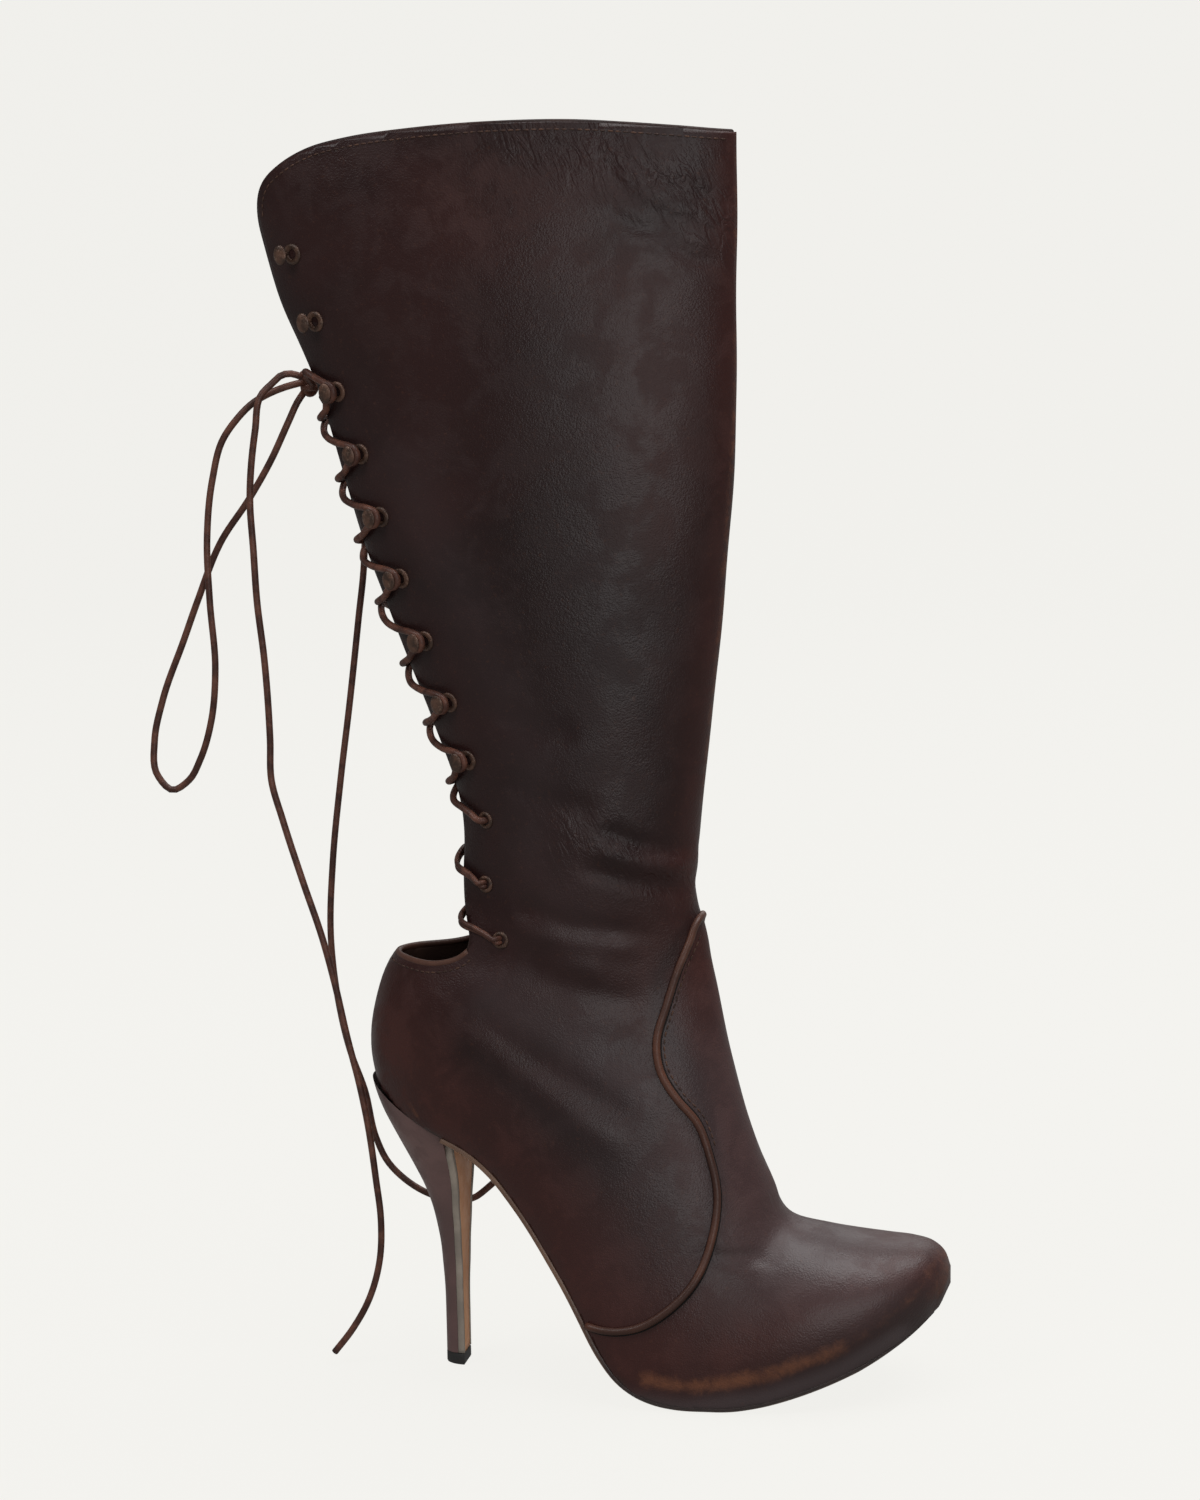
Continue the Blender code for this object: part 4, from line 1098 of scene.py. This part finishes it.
# Eyelets, lacing hooks and the lace.
lacing = {
    "eyeletRadius": 3.2,
    "hookRadius": 3.8,
    "bore": 1.7,
    "rim": 0.55,
    "postOffset": 2.6,
    "postRadius": 0.8,
    "headBottom": 4.3,
    "headAcross": 2.6,
    "headAlong": 3.6,
    "headShift": 2.2,
    "headTilt": -8,
    "bendGap": 1.0,
    "laceRadius": 1.3,
    "doubleRadius": 0.95,
    "doubleGap": 0.82,
    "lift": 0.6,
    "crossingReach": 4.6,
    "edgeOffset": 0.4,
    "barRise": 4.3,
    "leaveShare": 0.24,
    "arriveShare": 0.62,
    "knotRise": 7.1,
    "firstHook": 3,
    "firstCrossed": 2,
    "lastCrossed": 9,
    "spacing": 0.9,
    "flapShares": (0.45, 0.8),
    "hookShares": (0.8,),
    "throat": ((-0.2, -4.5), (0.0, -2.0), (0.3, 0.2), (1.3, 1.7)),
    "cornerLift": 0.3,
    "crossingGap": 0.9,
    "knotGap": (3.0, -0.5),
    "insideDepth": 4.3,
    "insideRadius": 1.1,
}
# The hook's post bends from its washer to its head: how far from the post's place, and height.
postLine = ((0.2, 0.2), (0.0, 1.2), (0.0, 2.6), (-0.1, 3.6), (-0.4, 4.6))
headProfile = (
    (0.001, 0.0), (0.7, -0.05), (0.93, -0.02), (1.0, 0.10), (0.97, 0.24), (0.85, 0.45), (0.62, 0.68),
    (0.33, 0.82), (0.001, 0.86),
)
knotPlace = Vector((-0.0460, 0.0, 0.3747))


def seatOf(number, side):
    # Z stands off the leather and X points to the flap's edge
    x, z = eyeletPlaces[number][:2]
    spot, normal = onSkin(x, z, side)
    back = Vector((-1.0, 0.0, 0.0))
    across = (back - normal * back.dot(normal)).normalized()
    return Matrix.Translation(spot) @ Matrix((across, normal.cross(across), normal)).transposed().to_4x4()


def turnedMesh(name, profile, steps=32):
    # a profile of radius and height turned round Z, in millimetres
    points = []
    for step in range(steps):
        angle = 2 * math.pi * step / steps
        for radius, height in profile:
            points.append((radius * math.cos(angle) * mm, radius * math.sin(angle) * mm, height * mm))
    return meshFrom(name, points, ringFaces(steps, len(profile), closed=False, looped=True, flip=True))


def roundedRing(radius):
    bore, rim = lacing["bore"], lacing["rim"]
    profile = [(bore + 0.15, -2.2), (bore, -1.2), (bore, -0.1)]
    middle, half = (radius + bore) / 2, (radius - bore) / 2
    for step in range(9):
        angle = math.pi * (1 - step / 8)
        profile.append((middle + half * math.cos(angle), 0.1 + rim * 1.1 * math.sin(angle)))
    profile.append((radius, -0.1))
    return profile


def hookMeshes():
    # a rolled washer, a bent post and a domed head
    ring = turnedMesh("hookRing", roundedRing(lacing["hookRadius"]))
    line = [(lacing["postOffset"] + aside, 0.0, height) for aside, height in postLine]
    line = [Vector(point) * mm for point in smoothPath(line, 0.35)]
    radii = []
    for index in range(len(line)):
        toEnd = min(1, 4 * min(index, len(line) - 1 - index) / len(line))
        radii.append(lacing["postRadius"] * (1.5 - 0.5 * toEnd) * mm)
    post = tubeMesh("hookPost", line, radii, 14)
    head = turnedMesh("hookHead", headProfile)
    tilt = Matrix.Rotation(math.radians(lacing["headTilt"]), 4, "Y")
    shift = Matrix.Translation((lacing["headShift"] * mm, 0, lacing["headBottom"] * mm))
    head.transform(shift @ tilt @ Matrix.Diagonal((lacing["headAcross"], lacing["headAlong"], 1.0, 1.0)))
    return [ring, post, head]


def makeFittings():
    eyelet = turnedMesh("eyelet", roundedRing(lacing["eyeletRadius"]))
    hook = joinMeshes("hook", hookMeshes())
    first = lacing["firstHook"]
    for side, word in ((nearSide, "near"), (farSide, "far")):
        for number in range(len(eyeletPlaces)):
            kind, shown = ("hook", number - first) if number >= first else ("eyelet", number)
            mesh = (hook if kind == "hook" else eyelet).copy()
            mesh.transform(seatOf(number, side))
            piece = newObject(f"{kind}Piece_{word}_{shown + 1}", mesh, hookEnamel)
            dress(piece, "eyelet_enamel", f"{kind}_{word}_{shown + 1}")


makeFittings()
print("hooks and eyelets set")

flapPath = smoothPath(flapLine, 1.0)


def flapAt(z):
    x, height = flapPath[::-1].T
    return float(np.interp(z, height, x))


def strand(number, edgeZ, side, radius):
    # from inside an eyelet, or from round a hook's post, out to the flap's edge and round its corner
    x, z = eyeletPlaces[number][:2]
    seat = seatOf(number, side)
    upwards = math.copysign(1.0, edgeZ - z) * math.copysign(1.0, seat.col[1].z)
    points = []
    shares = lacing["hookShares"]
    if number < lacing["firstHook"]:
        shares = lacing["flapShares"]
        points += [seat @ (Vector((across, 0.0, height)) * mm) for across, height in lacing["throat"]]
    else:
        bend = lacing["postRadius"] + lacing["bendGap"] + radius
        height = (0.9 + lacing["headBottom"]) / 2
        for turn in (0, 30, 60, 90):
            angle = math.radians(turn)
            across = lacing["postOffset"] - bend * math.cos(angle)
            points.append(seat @ (Vector((across, bend * math.sin(angle) * upwards, height)) * mm))
    edgeX = flapAt(edgeZ) + lacing["edgeOffset"]
    lift = radius + lacing["lift"]
    for share in shares:
        spot, normal = onSkin(x * (1 - share) + edgeX * share, z * (1 - share) + edgeZ * share, side)
        points.append(spot + normal * lift * mm)
    spot, normal = onSkin(edgeX, edgeZ, side)
    corner = (normal + Vector((-1.0, 0.0, 0.0))).normalized()
    points.append(spot + corner * (lift + lacing["cornerLift"]) * mm)
    return points


def crossingPoint(number, z):
    return Vector((flapAt(z) - lacing["crossingReach"] * eyeletPlaces[number][2], 0.0, z)) * mm


def crossingCord(startSide):
    points = []
    side = startSide
    last = lacing["lastCrossed"]
    radius = lacing["laceRadius"]
    for number in range(lacing["firstCrossed"], last):
        here = eyeletPlaces[number][1]
        gap = eyeletPlaces[number + 1][1] - here
        points.extend(strand(number, here + gap * lacing["leaveShare"], side, radius))
        middle = crossingPoint(number, here + gap / 2)
        middle.x += startSide * side * lacing["crossingGap"] * mm
        points.append(middle)
        points.extend(strand(number + 1, here + gap * lacing["arriveShare"], -side, radius)[:0:-1])
        side = -side
    points.extend(strand(last, eyeletPlaces[last][1] + lacing["knotRise"], side, radius))
    aside, below = lacing["knotGap"]
    points.append(knotPlace + Vector((0.0, side * aside, below)) * mm)
    return points


def laceTube(name, points, radius):
    line = smoothPath([tuple(point) for point in points], lacing["spacing"] * mm)
    return tubeMesh(name, line, radius * mm, 12)


def dressLace(name, meshes, *nodes):
    return dress(newObject(name, joinMeshes(name, meshes), plain["laceLeather"]), "lace_leather", *nodes)


def makeLaceBars():
    radius = lacing["doubleRadius"]
    for number in range(lacing["firstCrossed"]):
        z = eyeletPlaces[number][1] + lacing["barRise"]
        near = strand(number, z, nearSide, radius)
        far = strand(number, z, farSide, radius)[::-1]
        middle = crossingPoint(number, z + lacing["barRise"])
        centre = smoothPath([tuple(p) for p in near + [middle] + far], lacing["spacing"] * mm)
        runs = np.gradient(centre, axis=0)
        aside = np.cross(runs, np.tile((-1.0, 0.0, 0.0), (len(runs), 1)))
        aside /= np.maximum(np.linalg.norm(aside, axis=1, keepdims=True), 1e-9)
        aside[:, 2] = np.abs(aside[:, 2])
        cords = []
        for way in (-1, 1):
            line = centre + aside * way * lacing["doubleGap"] * mm
            cords.append(tubeMesh("barCord", line, radius * mm, 12))
        dressLace(f"laceBar_{number + 1}", cords, f"lace_bar_{number + 1}")


def makeCrossings():
    cords = [laceTube("crossing", crossingCord(side), lacing["laceRadius"]) for side in (nearSide, farSide)]
    dressLace("laceCrossings", cords, "lace_crossings")


def makeInsideLace():
    # hidden lengths between the lowest eyelets, along the lining
    across, height = lacing["throat"][0]
    cords = []
    for side in (nearSide, farSide):
        for number in (0, 1):
            seats = [seatOf(number + step, side) for step in (0, 1)]
            start, end = (seat @ (Vector((across, 0.0, height)) * mm) for seat in seats)
            middle = seats[0].translation.lerp(seats[1].translation, 0.5)
            middle = middle - nearestNormal(middle) * lacing["insideDepth"] * mm
            line = [start, start.lerp(middle, 0.5), middle, end.lerp(middle, 0.5), end]
            cords.append(laceTube("inside", line, lacing["insideRadius"]))
    dressLace("insideLace", cords)


# The knot: two turns round the lace ends and a tucked lump between them.
# Each turn's centre from the knot's place, its tilt, and how wide and tall it is.
knotTurns = (
    ((-2.2, 0.0, 2.0), 20, 3.2, 2.6),
    ((-1.6, 0.0, -2.0), -28, 3.1, 2.7),
    ((-2.4, 0.0, 0.2), 68, 2.6, 3.6),
)
knot = {"steps": 28, "radius": 1.35, "narrow": 0.8, "wave": 0.35}


def makeKnot():
    cords = []
    for centre, tilt, wide, tall in knotTurns:
        turn = Matrix.Rotation(math.radians(tilt), 3, "Y") @ Matrix.Rotation(math.radians(tilt / 2), 3, "X")
        line = []
        for step in range(knot["steps"]):
            angle = 2 * math.pi * step / knot["steps"]
            across = wide * math.cos(angle) * knot["narrow"]
            local = Vector((across, wide * math.sin(angle), tall * knot["wave"] * math.sin(2 * angle)))
            line.append(knotPlace + (Vector(centre) + turn @ local) * mm)
        cords.append(tubeMesh("knotTurn", line, knot["radius"] * mm, 12, closed=True))
    return dressLace("laceKnot", cords, "lace_knot")


# Routes of the free lace from the knot outwards: x, y, z.
loopRoute = (
    (-49.7, -3.5, 375.1), (-55.4, -7, 373.6), (-61.8, -8, 371.1), (-68, -8, 367.6), (-74.1, -9, 361.6),
    (-79.4, -9, 354.5), (-84, -9, 339.6), (-86.9, -9, 317.2), (-86.7, -9, 294.8), (-85.8, -8, 268.6),
    (-88.4, -7, 249), (-93.7, -6, 233.8), (-98.8, -5, 225.6), (-105.6, -5, 221.7), (-111.3, -5, 227.4),
    (-112.2, -4, 240.5), (-108.7, -3, 255.8), (-99.4, -3, 278.9), (-93.3, -3, 294.1), (-83.2, -3, 316.5),
    (-72.2, -3, 331.7), (-63.1, -3, 346.3), (-55.7, -2.5, 361.2), (-52.6, -1, 368), (-50.6, 0, 371.1),
)
nearEndRoute = (
    (-48.4, -8.2, 377.2), (-51.9, -9.7, 378.6), (-55.4, -10.7, 378.2), (-58.5, -12.3, 375.4),
    (-62.3, -14, 371.5), (-64.9, -15, 358.4), (-67.8, -15, 332.8), (-67.1, -15, 314.4), (-66.7, -14, 295.5),
    (-64.9, -13, 273.2), (-64, -12, 243), (-64, -12, 227.7), (-60.1, -12, 212.8), (-53.2, -12, 190.1),
    (-45.8, -12, 167), (-42, -12, 151.8), (-37.2, -12, 128.7), (-33.4, -12, 112.7), (-30.6, -12, 97.8),
    (-27.7, -12, 74.4), (-26.2, -12, 58.7), (-27.1, -12, 42.8), (-31.9, -12, 26.5), (-38.9, -12, 14.1),
    (-46, -12, 4.8),
)
farEndRoute = (
    (-45.5, 6, 369.4), (-42.5, 16, 358), (-38.7, 20, 341), (-35.2, 22, 321.8), (-35.6, 22, 306.5),
    (-38.5, 22, 283.8), (-42.7, 22, 252.9), (-47.3, 22, 222.1), (-51.3, 22, 190.5), (-53, 22, 158.9),
    (-50.8, 22, 135.1), (-46.6, 22, 115.2), (-41.1, 22, 99.5), (-36.7, 22, 79.5), (-33, 22, 71.6),
    (-25.5, 22, 64), (-15.8, 22, 58.7), (-5.9, 22, 56.8), (2.2, 22, 58.4), (6.2, 22, 61.5), (9.5, 22, 64.5),
)


def makeFreeLace(laceKnot):
    for name, node, route, farEnd in (
        ("laceLoop", "lace_loop", loopRoute, "object"),
        ("laceEndNear", "lace_end_near", nearEndRoute, "bare"),
        ("laceEndFar", "lace_end_far", farEndRoute, "bare"),
    ):
        line = smoothPath(rowsOf(route) * mm, 2.2 * mm)
        piece = newObject(name, tubeMesh(name, line, lacing["laceRadius"] * mm, 12), plain["laceLeather"])
        dress(piece, "lace_leather", node)


makeLaceBars()
makeCrossings()
makeInsideLace()
makeFreeLace(makeKnot())
print("lace run")


# The leather outsole follows the cut lower edge of the skin.
# The profile's rows: how far below the upper's edge, how far in at the waist, and how far more at the platform.
sole = {
    "proud": 0.12,
    "rows": 12,
    "seatX": 1.6,
    "step": 1.6,
    "toeRun": 26.0,
    "endGap": 2.6,
    "toeThin": 0.85,
    "profile": ((0.05, 0.5, -0.35), (0.4, 0.1, 0.15), (1.3, 0.0, 0.7), (1.9, 0.15, 1.3), (2.2, 0.7, 1.6)),
    "dyed": (1.0, 1.0, 1.0, 0.35, 0.0),
    "lowest": 0.02,
    "closing": 8.0,
    "tuckFrom": (62.0, 76.0),
    "waistFrom": (66.0, 46.0),
    "waistBare": 0.6,
    "middle": ((40.0, 190.0), (0.0, 4.8)),
}


def lowerEdge(side):
    # the skin's lower edge on one side, from heel to toe
    points = [point for loop in edgeLoops for point in loop if isFeather(point)]
    rows = np.array([point[:] for point in points]) / mm
    middle = np.interp(rows[:, 0], *sole["middle"])
    rows = rows[(rows[:, 1] - middle) * side > 0]
    return rows[np.argsort(rows[:, 0])]


def ringOf(levels):
    # the closed ring round a stack of rows: along the first, down, back along the last and up
    down = [level[-1] for level in levels[1:-1]]
    up = [level[0] for level in levels[-2:0:-1]]
    return [*levels[0], *down, *levels[-1][::-1], *up]


def makeOutsole():
    near, far = lowerEdge(nearSide), lowerEdge(farSide)
    end = min(near[-1, 0], far[-1, 0]) - sole["endGap"]
    closing = end - sole["closing"] * (1 - np.linspace(0, 1, 14)) ** 2
    stops = np.concatenate((np.arange(sole["seatX"], end - sole["closing"], sole["step"]), closing))
    pathX, pathZ = featherPath.T
    runX, runZ = directionsOf(featherPath).T
    wide = sole["rows"] + 1
    points = []
    for x in stops:
        down = np.array((np.interp(x, pathX, runZ), -np.interp(x, pathX, runX)))
        down /= np.linalg.norm(down)
        left = np.interp(x, near[:, 0], near[:, 1]) - sole["proud"]
        right = np.interp(x, far[:, 0], far[:, 1]) + sole["proud"]
        tuck = rampOf(x, *sole["tuckFrom"])
        thin = 1.0 - sole["toeThin"] * rampOf(x, end - sole["toeRun"], end)
        levels = []
        for height, inset, tucked in sole["profile"]:
            inset += tuck * tucked
            lower = np.interp(x, pathX, pathZ) + down[1] * height * thin
            front, lower = x + down[0] * height * thin, max(lower, sole["lowest"])
            across = np.linspace(left + inset, right - inset, wide)
            levels.append([(front * mm, y * mm, lower * mm) for y in across])
        points += ringOf(levels)
    dyed = ringOf([[share] * wide for share in sole["dyed"]])
    faces = ringFaces(len(stops), len(dyed), flip=True)
    mesh = meshFrom("soleLeather", points, faces + [face[::-1] for face in endFaces(len(stops), len(dyed))])
    waist = rampOf(np.array(points)[:, 0] / mm, *sole["waistFrom"])
    addMask(mesh, "dyed", np.tile(dyed, len(stops)) * (1.0 - waist * sole["waistBare"]))
    dress(newObject("soleLeather", mesh, soleSide), "sole_leather", "outsole")


# The heel: its cover, the sole leather down its front with a trimmed pale strip each side, and its tip.
heel = {
    "levels": 90,
    "around": 48,
    "bow": 0.96,
    "seatGap": 0.3,
    "sharpAngle": 50,
    "lift": 4.6,
    "liftFront": 2.5,
    "liftProfile": ((0.0, 0.6), (0.15, 0.2), (0.6, 0.0), (4.2, 0.0), (4.55, 0.15), (4.6, 0.5)),
    "breastLevels": 46,
    "breastTop": 94.5,
    "breastGap": 0.1,
    "breastNarrow": 0.25,
    "narrowFrom": 86.0,
    "bevel": 0.25,
    "bevelShare": 0.03,
    "liftAround": 32,
    "bottom": 4.9,
    "top": 124.0,
}
# Left and right as shares of the heel's half width, and thickness.
breastStrips = {
    "heelBreast": ("soleLeather", ((-0.86, 0.86, 2.2),)),
    "heelBreastEdge": ("trimEdge", ((-1.0, -0.84, 2.5), (0.84, 1.0, 2.5))),
}


def heelAt(z):
    # back, front and half width
    table = rowsOf(heelRows)[::-1]
    return smoothRows(table[:, 0], table, np.array([z]))[0, 1:]


def stripMesh(left, right, thick):
    inset = (right - left) * heel["bevelShare"]
    section = ((0.0, left), (thick - heel["bevel"], left), (thick, left + inset))
    section += ((thick, right - inset), (thick - heel["bevel"], right), (0.0, right))
    points = []
    for z in np.linspace(heel["bottom"], heel["breastTop"], heel["breastLevels"]):
        _, front, half = heelAt(z)
        half *= 1.0 - heel["breastNarrow"] * rampOf(z, heel["narrowFrom"], heel["breastTop"]) ** 2
        points += [((front + heel["breastGap"] + out) * mm, y * half * mm, z * mm) for out, y in section]
    return meshFrom("strip", points, ringFaces(heel["breastLevels"], 6) + endFaces(heel["breastLevels"], 6))


def makeBreast():
    for name, (material, strips) in breastStrips.items():
        mesh = joinMeshes(name, [stripMesh(*strip) for strip in strips])
        dress(newObject(name, mesh, plain[material]), "sole_leather")


def halfRound(back, front, half, z, count, bow=1.0):
    # an arch in plan, flat at its front
    ring = []
    for index in range(count + 1):
        turn = math.pi * index / count
        ring.append(((front - (front - back) * math.sin(turn) ** bow) * mm, half * math.cos(turn) * mm, z * mm))
    return ring


def makeHeel():
    points = []
    for z in np.linspace(heel["bottom"], heel["top"], heel["levels"]):
        points += halfRound(*heelAt(z), z, heel["around"], heel["bow"])
    wide = heel["around"] + 1
    faces = ringFaces(heel["levels"], wide) + endFaces(heel["levels"], wide)[:1]
    values = [point[2] / mm - np.interp(point[0] / mm, *featherPath.T) + heel["seatGap"] for point in points]
    bm = openMesh("heel", points, faces, values)
    mesh = bpy.data.meshes.new("heelCover")
    bm.to_mesh(mesh)
    bm.free()
    # the heel cover's colour is brown leather with a painted sheen lightening it
    finishHeelPiece("heelCover", mesh, plain["heelLeatherPaintedSheen"], "heel_leather", "heel")


def makeLift():
    # the rubber tip, with a worn rounded lower edge
    back, front, half = heelAt(heel["lift"])
    points = []
    for z, inset in heel["liftProfile"]:
        edges = (back - heel["breastGap"] + inset, front + heel["liftFront"] - inset, half - inset)
        points += halfRound(*edges, z, heel["liftAround"])
    levels, wide = len(heel["liftProfile"]), heel["liftAround"] + 1
    mesh = meshFrom("topLift", points, ringFaces(levels, wide) + endFaces(levels, wide))
    finishHeelPiece("topLift", mesh, liftRubber, "lift_rubber", "top_lift")


def finishHeelPiece(name, mesh, material, slotName, node):
    for polygon in mesh.polygons:
        polygon.use_smooth = True
    mesh.set_sharp_from_angle(angle=math.radians(heel["sharpAngle"]))
    dress(newObject(name, mesh, material), slotName, node)


makeOutsole()
makeBreast()
makeHeel()
makeLift()
for node, material in (("insole", plain["insoleLeather"]), ("platform", plain["platformCover"])):
    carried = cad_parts[node]
    carried.data.materials.clear()
    carried.data.materials.append(material)
print("sole and heel made")


# Floor, light and background.
studio = {
    "floorColour": (0.03, 0.0297, 0.0288),
    "floorGlow": (0.887, 0.879, 0.847),
    "seenGlow": 0.972,
    "castGlow": 0.34,
    "world": 0.12,
    "floorSize": 6.0,
    "riseFrom": 2.2,
    "bend": 0.8,
    "backdrop": 4.0,
}
# Name, place, aim, size and power.
lights = (
    ("keyLight", (-1.3, -1.3, 1.9), (0.05, 0.0, 0.25), 1.0, 22.0),
    ("fillLight", (0.9, -1.7, 0.35), (0.06, 0.0, 0.07), 1.3, 15.0),
    ("topLight", (0.6, 0.05, 2.1), (0.10, 0.0, 0.05), 1.8, 60.0),
    ("backLight", (0.3, 2.0, 1.3), (0.05, 0.0, 0.2), 1.2, 6.0),
)


def glowOf(tree, cast, seen):
    # how bright a surface glows: one strength for what it lights, another for the camera
    ray = tree.nodes.new("ShaderNodeLightPath").outputs["Is Camera Ray"]
    return rangeNode(tree, ray, 0.0, 1.0, cast, seen)


def makeStudio():
    mesh = bpy.data.meshes.new("floor")
    reach, start, bend = studio["floorSize"], studio["riseFrom"], studio["bend"]
    rise = [(start + math.sin(a) * bend, bend - math.cos(a) * bend) for a in np.linspace(0, math.pi / 2, 16)]
    rise = [(-reach, 0.0), *rise, (start + bend, studio["backdrop"])]
    points = [(x, y, z) for y, z in rise for x in (-reach, reach)]
    faces = [(2 * i, 2 * i + 1, 2 * i + 3, 2 * i + 2) for i in range(len(rise) - 1)]
    mesh.from_pydata(points, [], faces)
    mesh.polygons.foreach_set("use_smooth", [True] * len(mesh.polygons))
    material, tree, shader, place, _ = newMaterial("paleFloor")
    tint = tuple(value * 0.97 for value in studio["floorColour"])
    colour = mixNode(tree, noiseNode(tree, place, 3.0), studio["floorColour"], tint)
    link(tree, colour, shader.inputs["Base Color"])
    glowColour = (*studio["floorGlow"], 1.0)
    setInputs(shader, {"Roughness": 0.9, "Specular IOR Level": 0.0, "Emission Color": glowColour})
    glow = glowOf(tree, studio["castGlow"], studio["seenGlow"])
    link(tree, glow, shader.inputs["Emission Strength"])
    newObject("floor", mesh, material)
    world = bpy.data.worlds.new("studioWorld")
    world.use_nodes = True
    background = world.node_tree.nodes["Background"]
    setInputs(background, {"Color": glowColour})
    link(world.node_tree, glowOf(world.node_tree, studio["world"], 1.0), background.inputs["Strength"])
    bpy.context.scene.world = world
    for name, place, aim, size, power in lights:
        light = bpy.data.lights.new(name, "AREA")
        light.size = size
        light.energy = power
        holder = bpy.data.objects.new(name, light)
        holder.location = place
        holder.rotation_euler = (Vector(aim) - Vector(place)).to_track_quat("-Z", "Y").to_euler()
        bpy.context.scene.collection.objects.link(holder)


makeStudio()
bpy.context.scene.view_settings.view_transform = "Standard"
print("studio lit")
